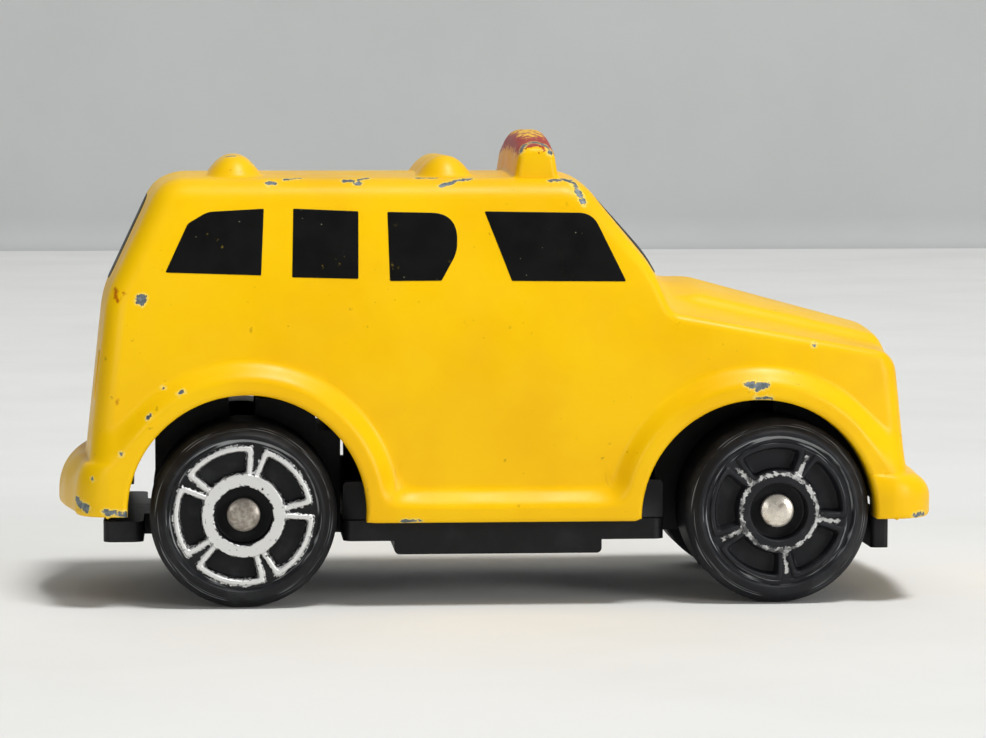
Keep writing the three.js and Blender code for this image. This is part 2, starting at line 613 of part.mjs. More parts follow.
// A round head lamp with a raised bezel round its lens, standing on the nose.
function headLamp({ place, normal }) {
  const lens = LAMP_RADIUS - LAMP_BEZEL;
  const root = -WALL / 2;
  const outline = [
    [0, LAMP_RELIEF], [lens / 2, LAMP_RELIEF], [lens, 0],
    [lens, LAMP_RELIEF], [LAMP_RADIUS, LAMP_RELIEF], [LAMP_RADIUS, root], [0, root],
  ];
  const geometry = turned(outline.reverse(), ROUND_SIDES);
  const facing = new THREE.Quaternion().setFromUnitVectors(new THREE.Vector3(0, 1, 0), normal);
  return solid(geometry.applyQuaternion(facing).translate(place.x, place.y, place.z));
}

// Head lamps, grille slots and tail lamps, cast into the two ends of the shell.
function withEndRelief(shell) {
  const profile = profilePath(0, REAR_RIM_HEIGHT, SILL_HEIGHT);
  const slotAcross = LAMP_SPREAD - LAMP_RADIUS - GRILLE_LAMP_GAP;
  const slotUp = GRILLE_SLOT_HEIGHT / 2;
  const slot = roundedRectangle(-slotAcross, -slotUp, slotAcross, slotUp, slotUp / 2);
  for (let i = 0; i < GRILLE_SLOTS; i++) {
    const z = LAMP_HEIGHT + (i - (GRILLE_SLOTS - 1) / 2) * GRILLE_PITCH;
    const { place, normal } = onEndFace(profile, FRONT_FACE_X, z, 0);
    shell = shell.subtract(faceExtrusion(slot, place, normal, -GRILLE_DEPTH, CUT_MARGIN));
  }
  const [across, up] = [TAIL_LAMP_HALF_WIDTH, TAIL_LAMP_HALF_HEIGHT];
  const tailLamp = roundedRectangle(-across, -up, across, up, across / 2);
  for (const side of [-1, 1]) {
    shell = shell.add(headLamp(onEndFace(profile, FRONT_FACE_X, LAMP_HEIGHT, side * LAMP_SPREAD)));
    const tail = onEndFace(profile, REAR_FACE_X, TAIL_LAMP_HEIGHT, side * TAIL_LAMP_SPREAD);
    shell = shell.add(faceExtrusion(tailLamp, tail.place, tail.normal, -WALL / 2, TAIL_LAMP_RELIEF));
  }
  return shell;
}

// The whole casting.
function bodyShell() {
  const outer = outerBody();
  let shell = outer.subtract(hollow());
  for (const x of [REAR_POST_X, FRONT_POST_X]) {
    const post = upright(POST_RADIUS, x, SILL_HEIGHT, ROOF_HEIGHT).intersect(outer);
    const boreRadius = RIVET_RADIUS + RIVET_CLEARANCE;
    const bore = upright(boreRadius, x, SILL_HEIGHT - CUT_MARGIN, SILL_HEIGHT + RIVET_GRIP);
    shell = shell.add(post).subtract(bore);
  }
  const bar = halfRoundSection();
  const barHalfLength = ROOF_HALF_WIDTH - BAR_END_GAP;
  shell = shell.add(roofBar(ROOF_REAR_X + REAR_BAR_SETBACK, bar, barHalfLength, 0));
  shell = shell.add(roofBar(ROOF_FRONT_X - FRONT_BAR_SETBACK, bar, barHalfLength, 0));
  const lightX = ROOF_FRONT_X - LIGHT_BAR_SETBACK;
  const lightHalfLength = ROOF_HALF_WIDTH - LIGHT_BAR_END_GAP;
  shell = shell.add(roofBar(lightX, lightBarSection(), lightHalfLength, LIGHT_BAR_END_DROP));
  return withEndRelief(shell);
}

// The keyhole that an axle snaps into: a round seat under a narrow mouth that opens upwards.
function snapSlot(axleX) {
  const seat = AXLE_RADIUS + BEARING_CLEARANCE;
  const mouth = Math.asin(SNAP_MOUTH / 2 / seat);
  const shape = new THREE.Shape();
  shape.absarc(axleX, AXLE_HEIGHT, seat, Math.PI / 2 + mouth, Math.PI * 2.5 - mouth);
  shape.lineTo(axleX + SNAP_LEAD / 2, LINER_HEIGHT + CUT_MARGIN);
  shape.lineTo(axleX - SNAP_LEAD / 2, LINER_HEIGHT + CUT_MARGIN);
  return sideExtrusion(shape, -TRACK_HALF, TRACK_HALF, SLOT_STEPS);
}

// The moulded chassis: floor, middle block, wheel-well liners with axle seats, bulkhead, upstands and skid.
function chassisBase() {
  const wheelReach = WHEEL_RADIUS + WHEEL_CLEARANCE;
  const tail = REAR_FACE_X + TAIL_SET_IN;
  const skid = FRONT_FACE_X - SKID_SET_BACK;
  const corner = MOULD_CORNER / 2;
  const midRear = REAR_AXLE_X + wheelReach;
  const midFront = FRONT_AXLE_X - WHEEL_RADIUS - FLOOR_FRONT_GAP;
  const spine = roundedRectangle(tail, -SPINE_HALF_WIDTH, skid, SPINE_HALF_WIDTH, MOULD_CORNER);
  const middle = roundedRectangle(midRear, -FLOOR_HALF_WIDTH, midFront, FLOOR_HALF_WIDTH, MOULD_CORNER);
  const end = roundedRectangle(tail, -END_HALF_WIDTH, REAR_AXLE_X - wheelReach, END_HALF_WIDTH, MOULD_CORNER);
  const nose = roundedRectangle(FRONT_AXLE_X + wheelReach, -END_HALF_WIDTH, skid, END_HALF_WIDTH, corner);
  let chassis = planExtrusion(spine, FLOOR_HEIGHT, SILL_HEIGHT);
  chassis = chassis.add(planExtrusion(middle, FLOOR_HEIGHT, SILL_HEIGHT));
  chassis = chassis.add(planExtrusion(end, FLOOR_HEIGHT, SILL_HEIGHT));
  chassis = chassis.add(planExtrusion(nose, SKID_HEIGHT, SILL_HEIGHT));
  const blockRear = midRear + BLOCK_REAR_GAP;
  const block = roundedRectangle(blockRear, BLOCK_HEIGHT, midFront - BLOCK_FRONT_GAP, SILL_HEIGHT, corner);
  chassis = chassis.add(sideExtrusion(block, -FLOOR_HALF_WIDTH, FLOOR_HALF_WIDTH));
  const rearLiner = [REAR_AXLE_X - REAR_LINER_BACK, REAR_AXLE_X + REAR_LINER_AHEAD];
  const frontLiner = [FRONT_AXLE_X - FRONT_LINER_BACK, FRONT_AXLE_X + FRONT_LINER_AHEAD];
  const bulkhead = roundedRectangle(rearLiner[1] - corner, FLOOR_HEIGHT, midRear, BULKHEAD_HEIGHT, corner);
  chassis = chassis.add(sideExtrusion(bulkhead, -SPINE_HALF_WIDTH, SPINE_HALF_WIDTH));
  for (const side of [-1, 1]) {
    const outer = side * SPINE_HALF_WIDTH;
    const inner = side * (SPINE_HALF_WIDTH - LINER_WALL);
    const [y0, y1] = [Math.min(outer, inner), Math.max(outer, inner)];
    for (const [back, front] of [rearLiner, frontLiner]) {
      const liner = roundedRectangle(back, FLOOR_HEIGHT, front, LINER_HEIGHT, LINER_CORNER);
      chassis = chassis.add(sideExtrusion(liner, y0, y1));
    }
    const face = side * (BODY_HALF_WIDTH - TUCK_UNDER - WALL - SHELL_CLEARANCE);
    const back = face - side * UPSTAND_WALL;
    const upstand = roundedRectangle(midRear, FLOOR_HEIGHT, midFront, UPSTAND_HEIGHT, corner);
    chassis = chassis.add(sideExtrusion(upstand, Math.min(face, back), Math.max(face, back)));
  }
  for (const x of [REAR_AXLE_X, FRONT_AXLE_X]) chassis = chassis.subtract(snapSlot(x));
  for (const x of [REAR_POST_X, FRONT_POST_X]) {
    const shankHole = RIVET_RADIUS + RIVET_CLEARANCE;
    const headHole = RIVET_HEAD_RADIUS + RIVET_CLEARANCE * 2;
    const below = BLOCK_HEIGHT - CUT_MARGIN;
    chassis = chassis.subtract(upright(shankHole, x, below, SILL_HEIGHT + CUT_MARGIN));
    chassis = chassis.subtract(upright(headHole, x, below, FLOOR_HEIGHT + RIVET_SINK));
  }
  return chassis;
}

// A rivet: domed head in the chassis, shank up into its post.
function rivet(x) {
  const seat = FLOOR_HEIGHT + RIVET_SINK;
  const tip = SILL_HEIGHT + RIVET_GRIP - RIVET_CLEARANCE;
  const underside = seat - RIVET_HEAD_THICKNESS;
  const profile = [
    [0, underside], [RIVET_HEAD_RADIUS - RIVET_HEAD_THICKNESS, underside],
    [RIVET_HEAD_RADIUS, seat - RIVET_HEAD_THICKNESS / 2], [RIVET_HEAD_RADIUS, seat],
    [RIVET_RADIUS, seat], [RIVET_RADIUS, tip], [0, tip],
  ];
  return solid(turned(profile, ROUND_SIDES).rotateX(Math.PI / 2).translate(x, 0, 0));
}

// A wire axle along Y, headed at both ends.
function axle(x) {
  const seat = TRACK_HALF - HUB_RECESS_DEPTH + END_PLAY;
  const rim = seat + HEAD_THICKNESS;
  const right = [[0, rim + HEAD_DOME], [HEAD_RADIUS / 2, rim + HEAD_DOME * 0.75], [HEAD_RADIUS, rim],
    [HEAD_RADIUS, seat], [AXLE_RADIUS, seat]];
  const profile = [...right.map(([r, y]) => [r, -y]), ...right.reverse()];
  return solid(turned(profile, AXLE_SIDES).translate(x, 0, AXLE_HEIGHT));
}

// A sector of the wheel face between two radii, its radial sides moved out and its corners cut off.
function sectorShape(inner, outer, movedOut, corner) {
  const halfAngle = Math.PI / POCKET_COUNT - degToRad(SPOKE_ANGLE / 2);
  const innerEnd = halfAngle + Math.asin(movedOut / inner);
  const outerEnd = halfAngle + Math.asin(movedOut / outer);
  const shape = new THREE.Shape();
  shape.absarc(0, 0, outer, -outerEnd + corner / outer, outerEnd - corner / outer);
  shape.lineTo((outer - corner) * Math.cos(outerEnd), (outer - corner) * Math.sin(outerEnd));
  shape.lineTo(inner * Math.cos(innerEnd), inner * Math.sin(innerEnd));
  shape.absarc(0, 0, inner, innerEnd, -innerEnd, true);
  shape.lineTo((outer - corner) * Math.cos(outerEnd), -(outer - corner) * Math.sin(outerEnd));
  return shape;
}

// A wheel with its outer face at y = -TRACK_HALF: tyre, rim, hub ring and sectors, and a hollow back.
function wheel(spokeAngle) {
  const rim = WHEEL_RADIUS - TYRE_WALL;
  const bore = AXLE_RADIUS + BORE_CLEARANCE;
  const tube = bore + HUB_TUBE_WALL;
  const disc = HUB_RECESS_DEPTH + WHEEL_DISC;
  const well = WHEEL_RADIUS - RIM_WALL;
  const tyre = WHEEL_RADIUS - TYRE_SHOULDER;
  const round = TYRE_SHOULDER * (1 - Math.SQRT1_2);
  const back = WHEEL_WIDTH + WHEEL_BOSS;
  const profile = [
    [bore, HUB_RECESS_DEPTH], [HUB_RING_INNER, HUB_RECESS_DEPTH], [HUB_RING_INNER, 0], [HUB_RING_OUTER, 0],
    [HUB_RING_OUTER, FACE_DROP], [rim - RIDGE_MARGIN / 2, FACE_DROP], [rim, 0], [tyre, 0],
    [WHEEL_RADIUS - round, round], [WHEEL_RADIUS, TYRE_SHOULDER],
    [WHEEL_RADIUS, WHEEL_WIDTH - TYRE_SHOULDER], [WHEEL_RADIUS - TYRE_SHOULDER / 2, WHEEL_WIDTH],
    [well, WHEEL_WIDTH], [well, disc], [tube, disc], [tube, back], [bore, back], [bore, HUB_RECESS_DEPTH],
  ].map(([r, depth]) => [r, depth - TRACK_HALF]);
  let body = solid(turned(profile, WHEEL_SIDES));
  const ridgeOuter = rim - RIDGE_MARGIN;
  const ridgeInner = HUB_RING_OUTER - RIDGE_WIDTH / 2;
  const pocketInner = HUB_RING_OUTER + RIDGE_WIDTH / 4;
  const ridge = sectorShape(ridgeInner, ridgeOuter, RIDGE_WIDTH, POCKET_CORNER);
  const pocket = sectorShape(pocketInner, ridgeOuter - RIDGE_WIDTH, 0, POCKET_CORNER);
  const raisedTo = FACE_DROP - RIDGE_HEIGHT - TRACK_HALF;
  for (let i = 0; i < POCKET_COUNT; i++) {
    const degrees = spokeAngle + (i + 0.5) * 360 / POCKET_COUNT;
    const placed = (shape, y0, y1) => sideExtrusion(shape, y0, y1).rotate([0, -degrees, 0]);
    body = body.add(placed(ridge, raisedTo, FACE_DROP + RIDGE_WIDTH - TRACK_HALF));
    body = body.subtract(placed(pocket, -TRACK_HALF - CUT_MARGIN, POCKET_DEPTH + FACE_DROP - TRACK_HALF));
  }
  return body;
}

const enamel = new THREE.MeshStandardMaterial({ color: 0xf5c010, roughness: 0.35, metalness: 0.0 });
const blackPlastic = new THREE.MeshStandardMaterial({ color: 0x1f2023, roughness: 0.55, metalness: 0.0 });
const tyrePlastic = new THREE.MeshStandardMaterial({ color: 0x232427, roughness: 0.5, metalness: 0.0 });
const steel = new THREE.MeshStandardMaterial({ color: 0xb8b4ac, roughness: 0.35, metalness: 1.0 });

const car = new THREE.Group();
car.add(piece('body_shell', bodyShell(), enamel));
car.add(piece('chassis_base', chassisBase(), blackPlastic));
car.add(piece('rear_rivet', rivet(REAR_POST_X), steel));
car.add(piece('front_rivet', rivet(FRONT_POST_X), steel));
const axles = [
  { end: 'rear', x: REAR_AXLE_X, spokeAngle: REAR_SPOKE_ANGLE },
  { end: 'front', x: FRONT_AXLE_X, spokeAngle: FRONT_SPOKE_ANGLE },
];
for (const { end, x, spokeAngle } of axles) {
  car.add(piece(`${end}_axle`, axle(x), steel));
  for (const [side, turn] of [['right', 0], ['left', Math.PI]]) {
    const mesh = piece(`${end}_${side}_wheel`, wheel(spokeAngle), tyrePlastic);
    mesh.position.set(x, 0, AXLE_HEIGHT);
    mesh.rotation.z = turn;
    car.add(mesh);
  }
}

// The origin is on the floor under the middle of the overall length.
const overall = new THREE.Box3().setFromObject(car);
car.position.x = -(overall.min.x + overall.max.x) / 2;

export default car;
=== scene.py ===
"""The looks of a small die-cast toy sport utility vehicle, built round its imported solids.

A yellow enamelled zinc casting with printed black windows stands on a black moulded chassis, two wire
axles and four foil-stamped wheels. Sizes here are in millimetres, in the frame of the solids, and turn
into metres where a mesh is made.
"""
import json
import logging
import math
from dataclasses import dataclass, field
from enum import Enum
from functools import partial
from typing import Callable

import bmesh
import bpy
import numpy as np
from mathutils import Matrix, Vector


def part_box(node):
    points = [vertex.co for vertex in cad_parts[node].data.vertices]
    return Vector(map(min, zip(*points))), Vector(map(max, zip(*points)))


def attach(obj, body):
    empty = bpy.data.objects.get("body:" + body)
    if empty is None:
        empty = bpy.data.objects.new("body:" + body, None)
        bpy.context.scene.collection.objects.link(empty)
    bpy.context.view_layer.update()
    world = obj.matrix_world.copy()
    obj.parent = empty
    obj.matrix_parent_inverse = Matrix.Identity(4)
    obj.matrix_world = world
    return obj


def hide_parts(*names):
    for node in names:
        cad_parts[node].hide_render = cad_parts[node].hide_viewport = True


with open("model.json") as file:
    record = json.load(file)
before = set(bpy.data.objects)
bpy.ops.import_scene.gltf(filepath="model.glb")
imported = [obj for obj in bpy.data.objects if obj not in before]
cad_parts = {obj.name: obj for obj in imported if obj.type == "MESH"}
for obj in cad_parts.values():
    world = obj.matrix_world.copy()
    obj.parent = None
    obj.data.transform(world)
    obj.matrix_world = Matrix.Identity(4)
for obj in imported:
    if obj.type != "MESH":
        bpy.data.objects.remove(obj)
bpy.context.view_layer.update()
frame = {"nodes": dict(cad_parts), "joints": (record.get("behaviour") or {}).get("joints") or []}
LOG = logging.getLogger("toy_car")
MM = 0.001
FULL_TURN = 2.0 * math.pi
ALONG, ACROSS, UP = np.eye(3)
JOINTS = {joint["name"]: np.array(joint["pos_m"]) / MM for joint in frame["joints"]}
REAR_AXLE_X, _, AXLE_HEIGHT = JOINTS["rear_axle_spin"]
FRONT_AXLE_X = JOINTS["front_axle_spin"][0]
TYRE_FACETS = 28
WHEEL_RADIUS = AXLE_HEIGHT / math.cos(math.pi / TYRE_FACETS)

# Points nearer to each other than this many millimetres are one
SEAM = 1e-4

# Places tried along a curve when its nearest one is looked for
SEARCH_STEPS = 4001

# Sockets of Blender's Mix node when it mixes colours
MIX_FACTOR, MIX_A, MIX_B, MIX_RESULT = 0, 6, 7, 2


class Side(Enum):
    """A side of the car, by the sign of its Y."""

    RIGHT = -1
    LEFT = 1


class FoilState(Enum):
    """How much hot-stamped foil is left on a wheel."""

    BRIGHT = "bright"
    WORN = "worn"


# Arithmetic on whole arrays


def linear(hex_colour: str) -> tuple[float, float, float, float]:
    """Turn an sRGB hex colour into linear light.

    Args:
        hex_colour: A colour such as "#F4BA06".

    Returns:
        Linear red, green and blue, and an alpha of one.
    """
    channels = [int(hex_colour[i:i + 2], 16) / 255 for i in (1, 3, 5)]
    curve = [c / 12.92 if c <= 0.04045 else ((c + 0.055) / 1.055) ** 2.4 for c in channels]
    return (*curve, 1.0)


def per_mm(size: float) -> float:
    """The scale of a texture on metres whose features are this many millimetres wide."""
    return 1.0 / (size * MM)


def smoothstep(value: np.ndarray, low: float, high: float) -> np.ndarray:
    """Rise from 0 at low to 1 at high along 3t squared less 2t cubed."""
    t = np.clip((value - low) / (high - low), 0.0, 1.0)
    return t * t * (3.0 - 2.0 * t)


def lerp(a: np.ndarray, b: np.ndarray, share: np.ndarray) -> np.ndarray:
    """A straight change from a to b."""
    return a + (b - a) * share


def blended_least(a: np.ndarray, b: np.ndarray, width: float) -> np.ndarray:
    """The lesser of two distances, with a parabola of this width across their corner."""
    mix = np.clip(0.5 + (b - a) / (2.0 * width), 0.0, 1.0)
    return b + (a - b) * mix - width * mix * (1.0 - mix)


def blended_most(a: np.ndarray, b: np.ndarray, width: float) -> np.ndarray:
    """The greater of two distances, with a parabola of this width across their corner."""
    return -blended_least(-a, -b, width)


def unit(vectors: np.ndarray) -> np.ndarray:
    """Vectors divided by their lengths."""
    return vectors / np.maximum(np.linalg.norm(vectors, axis=-1, keepdims=True), 1e-9)


@dataclass
class Path:
    """A plane curve through points, read by the share of its length.

    Attributes:
        points: An n by 2 array of places along the curve.
    """

    points: np.ndarray
    shares: np.ndarray = field(init=False)
    length: float = field(init=False)

    def __post_init__(self) -> None:
        """Add up the lengths between the points."""
        steps = np.linalg.norm(np.diff(self.points, axis=0), axis=1)
        along = np.concatenate([[0.0], np.cumsum(steps)])
        self.length = float(along[-1])
        self.shares = along / self.length

    def at(self, share: np.ndarray) -> np.ndarray:
        """Places at these shares of the length, straight between the points."""
        share = np.clip(share, 0.0, 1.0)
        return np.stack([np.interp(share, self.shares, self.points[:, i]) for i in (0, 1)], axis=-1)

    def normal(self, share: np.ndarray, span: float = 2e-3) -> np.ndarray:
        """Unit normals to the left of travel, averaged over a span on both sides.

        Args:
            share: Shares of the length.
            span: The share of the length to look to on each side.

        Returns:
            One normal for each share.
        """
        share = np.asarray(share, float)
        travel = self.at(share + span) - self.at(share - span)
        return unit(np.stack([-travel[..., 1], travel[..., 0]], axis=-1))

    def nearest(self, x: float, z: float) -> float:
        """The share of the length at the place nearest to a target."""
        shares = np.linspace(0.0, 1.0, SEARCH_STEPS)
        return float(shares[np.argmin(np.linalg.norm(self.at(shares) - (x, z), axis=1))])


def rounded_path(corners: list[tuple[float, ...]], steps: int = 120) -> Path:
    """Join corners by straight lines, each inner corner replaced by a parabola.

    The parabola has the corner as its control point and starts and ends where a circle of the corner's
    radius would touch the two lines.

    Args:
        corners: (x, z, radius) in order; the first and last need no radius.
        steps: Points along each parabola.

    Returns:
        The path through them.
    """
    ends = [np.array(corner[:2], float) for corner in corners]
    rows = [ends[0][None]]
    t = np.linspace(0.0, 1.0, steps)[:, None]
    for before, here, after, corner in zip(ends, ends[1:], ends[2:], corners[1:]):
        back, ahead = unit(before - here), unit(after - here)
        trim = corner[2] / math.tan(math.acos(float(np.clip(back @ ahead, -1.0, 1.0))) / 2.0)
        start, end = here + back * trim, here + ahead * trim
        rows.append((1 - t) ** 2 * start + 2 * t * (1 - t) * here + t ** 2 * end)
    rows.append(ends[-1][None])
    return Path(np.concatenate(rows))


def arc(centre: np.ndarray, radius: float, start: float, end: float, steps: int = 200) -> np.ndarray:
    """Points along a circle from one angle to another, in radians."""
    angle = np.linspace(start, end, steps)
    return centre + radius * np.stack([np.cos(angle), np.sin(angle)], axis=-1)


# Meshes


def grid_faces(rows: int, columns: int, ringed: bool = False, looped: bool = False) -> np.ndarray:
    """Quads between neighbours of a grid of points that run row by row.

    Args:
        rows: Rows of points.
        columns: Points in a row.
        ringed: Whether the last point of a row meets its first.
        looped: Whether the last row meets the first row.

    Returns:
        An array of quads.
    """
    i, j = np.meshgrid(np.arange(rows - (not looped)), np.arange(columns - (not ringed)), indexing="ij")
    i_next, j_next = (i + 1) % rows, (j + 1) % columns
    corners = [i * columns + j, i_next * columns + j, i_next * columns + j_next, i * columns + j_next]
    return np.stack(corners, axis=-1).reshape(-1, 4)


def turned(outline: np.ndarray, steps: int, place: np.ndarray, across: np.ndarray, up: np.ndarray,
           axis: np.ndarray) -> np.ndarray:
    """Rings of an outline turned about an axis.

    A ring of radius r at height h lies at place + r (cos t across + sin t up) + h axis.

    Args:
        outline: Radii and heights, n by 2.
        steps: Points in a ring.
        place: The place on the axis at height zero.
        across: The direction in which each ring starts.
        up: The direction a quarter turn on.
        axis: The direction of the axis.

    Returns:
        An n by steps by 3 array.
    """
    turn = np.linspace(0.0, FULL_TURN, steps, endpoint=False)[:, None]
    ring = np.cos(turn) * across + np.sin(turn) * up
    return place + outline[:, None, :1] * ring + outline[:, None, 1:] * axis


@dataclass
class Piece:
    """A shown piece and what it stands for.

    Attributes:
        name: The piece's name.
        body: The moving body that it rides on.
        slot: The record's material slot; not used.
        replaced: The solids that it stands for.
    """

    name: str
    body: str
    slot: str
    replaced: tuple[str, ...] = ()

    def build(self, points: np.ndarray, faces: list, material: bpy.types.Material,
              values: dict[str, np.ndarray] | None = None, sharp: float = 40.0) -> bpy.types.Object:
        """Make the mesh, merge its seams and poles, turn its faces outwards and set it on its body.

        Args:
            points: An n by 3 array in millimetres.
            faces: Corner lists.
            material: The finish.
            values: Numbers or vectors for each point, by attribute name.
            sharp: The angle in degrees above which an edge stays sharp.

        Returns:
            The new object.
        """
        mesh = bpy.data.meshes.new(self.name)
        mesh.from_pydata((points * MM).tolist(), [], faces)
        for key, value in (values or {}).items():
            kind, field_name = ("FLOAT", "value") if value.ndim == 1 else ("FLOAT_VECTOR", "vector")
            layer = mesh.attributes.new(key, kind, "POINT")
            layer.data.foreach_set(field_name, np.ascontiguousarray(value, np.float32).ravel())
        work = bmesh.new()
        work.from_mesh(mesh)
        bmesh.ops.remove_doubles(work, verts=work.verts, dist=SEAM * MM)
        bmesh.ops.dissolve_degenerate(work, edges=work.edges, dist=SEAM * MM)
        bmesh.ops.recalc_face_normals(work, faces=work.faces)
        work.to_mesh(mesh)
        work.free()
        mesh.shade_smooth()
        mesh.set_sharp_from_angle(angle=math.radians(sharp))
        return self.place(bpy.data.objects.new(self.name, mesh), material)

    def build_rings(self, rings: np.ndarray, material: bpy.types.Material,
                    values: dict[str, np.ndarray] | None = None) -> bpy.types.Object:
        """Make the piece from closed rings; a ring of no size closes an end.

        Args:
            rings: An n by m by 3 array in millimetres.
            material: The finish.
            values: Numbers or vectors for each point, by attribute name.

        Returns:
            The new object.
        """
        faces = grid_faces(*rings.shape[:2], ringed=True).tolist()
        return self.build(rings.reshape(-1, 3), faces, material, values)

    def place(self, shown: bpy.types.Object, material: bpy.types.Material) -> bpy.types.Object:
        """Link an object, give it its finish and tie it to its body and solids.

        Args:
            shown: The object.
            material: The finish.

        Returns:
            The same object.
        """
        bpy.context.scene.collection.objects.link(shown)
        shown.data.materials.clear()
        shown.data.materials.append(material)
        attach(shown, self.body)
        if self.replaced:
            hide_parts(*self.replaced)
        LOG.info("%s: %d faces on %s", self.name, len(shown.data.polygons), self.body)
        return shown


# Finishes


class Kind(Enum):
    """A kind of node: its type, its inputs in order, the output that is read, and its settings."""

    PLACE = ("ShaderNodeTexCoord", (), "Object")
    DIRECTION = ("ShaderNodeTexCoord", (), "Generated")
    FORWARD = ("ShaderNodeSeparateXYZ", ("Vector",), "X")
    UPWARD = ("ShaderNodeSeparateXYZ", ("Vector",), "Z")
    NUMBER = ("ShaderNodeAttribute", (), "Fac")
    VECTOR = ("ShaderNodeAttribute", (), "Vector")
    NOISE = ("ShaderNodeTexNoise", ("Vector", "Scale", "Detail", "Roughness"), "Fac")
    LINE = ("ShaderNodeMapRange", ("Value", "From Min", "From Max", "To Min", "To Max"), "Result")
    RAMP = (*LINE, {"interpolation_type": "SMOOTHSTEP"})
    MIX = ("ShaderNodeMix", (MIX_FACTOR, MIX_A, MIX_B), MIX_RESULT, {"data_type": "RGBA"})
    ADD = ("ShaderNodeMath", (0, 1), 0, {"operation": "ADD"})
    MULTIPLY = ("ShaderNodeMath", (0, 1), 0, {"operation": "MULTIPLY"})
    MULTIPLY_ADD = ("ShaderNodeMath", (0, 1, 2), 0, {"operation": "MULTIPLY_ADD"})
    BUMP = ("ShaderNodeBump", ("Height", "Strength", "Distance"), "Normal")
    SHADER = ("ShaderNodeBsdfPrincipled", (), "BSDF")
    OUTPUT = ("ShaderNodeOutputMaterial", ("Surface",), None)

    def __init__(self, node: str, inputs: tuple, output: str | int | None,
                 settings: dict | None = None) -> None:
        """Name the parts of a kind.

        Args:
            node: Blender's name of the type.
            inputs: Names or numbers of the inputs.
            output: The name or number of the output, or None where there is none.
            settings: The node's own properties.
        """
        self.node, self.inputs, self.output, self.settings = node, inputs, output, settings or {}


def add_node(tree: bpy.types.NodeTree, kind: Kind, *inputs: object, named: dict[str, object] | None = None,
             **settings: object) -> bpy.types.NodeSocket | None:
    """Add a node with its settings; an input is a value, or a socket to link from.

    Args:
        tree: The node tree.
        kind: The kind of node.
        *inputs: Inputs in the kind's order; those left out keep Blender's own values.
        named: More inputs, by name.
        **settings: The node's own properties, besides the kind's.

    Returns:
        The output that is read.
    """
    node = tree.nodes.new(kind.node)
    for key, value in (kind.settings | settings).items():
        setattr(node, key, value)
    for key, value in (dict(zip(kind.inputs, inputs)) | (named or {})).items():
        if isinstance(value, bpy.types.NodeSocket):
            tree.links.new(value, node.inputs[key])
        else:
            node.inputs[key].default_value = value
    return None if kind.output is None else node.outputs[kind.output]


@dataclass(frozen=True)
class Finish:
    """A finish: how its graph starts and how it ends.

    Attributes:
        name: The real material's name.
    """

    name: str

    def start(self) -> tuple[bpy.types.Material, Callable[..., bpy.types.NodeSocket], bpy.types.NodeSocket]:
        """Start a material with an empty tree.

        Returns:
            The material, a function that adds a node to its tree, and the object coordinates.
        """
        material = bpy.data.materials.new(self.name)
        material.use_nodes = True
        material.node_tree.nodes.clear()
        add = partial(add_node, material.node_tree)
        return material, add, add(Kind.PLACE)

    def close(self, add: Callable[..., bpy.types.NodeSocket], height: bpy.types.NodeSocket, depth: float,
              **sockets: object) -> None:
        """Close the graph with a bump and a principled shader.

        Args:
            add: Adds a node to the tree.
            height: The bump's height, where one is the full depth.
            depth: The bump's depth in millimetres.
            **sockets: The shader's inputs, with underscores for the spaces in their names.
        """
        named = {key.replace("_", " "): value for key, value in sockets.items()}
        named["Normal"] = add(Kind.BUMP, height, 1.0, depth * MM)
        add(Kind.OUTPUT, add(Kind.SHADER, named=named))


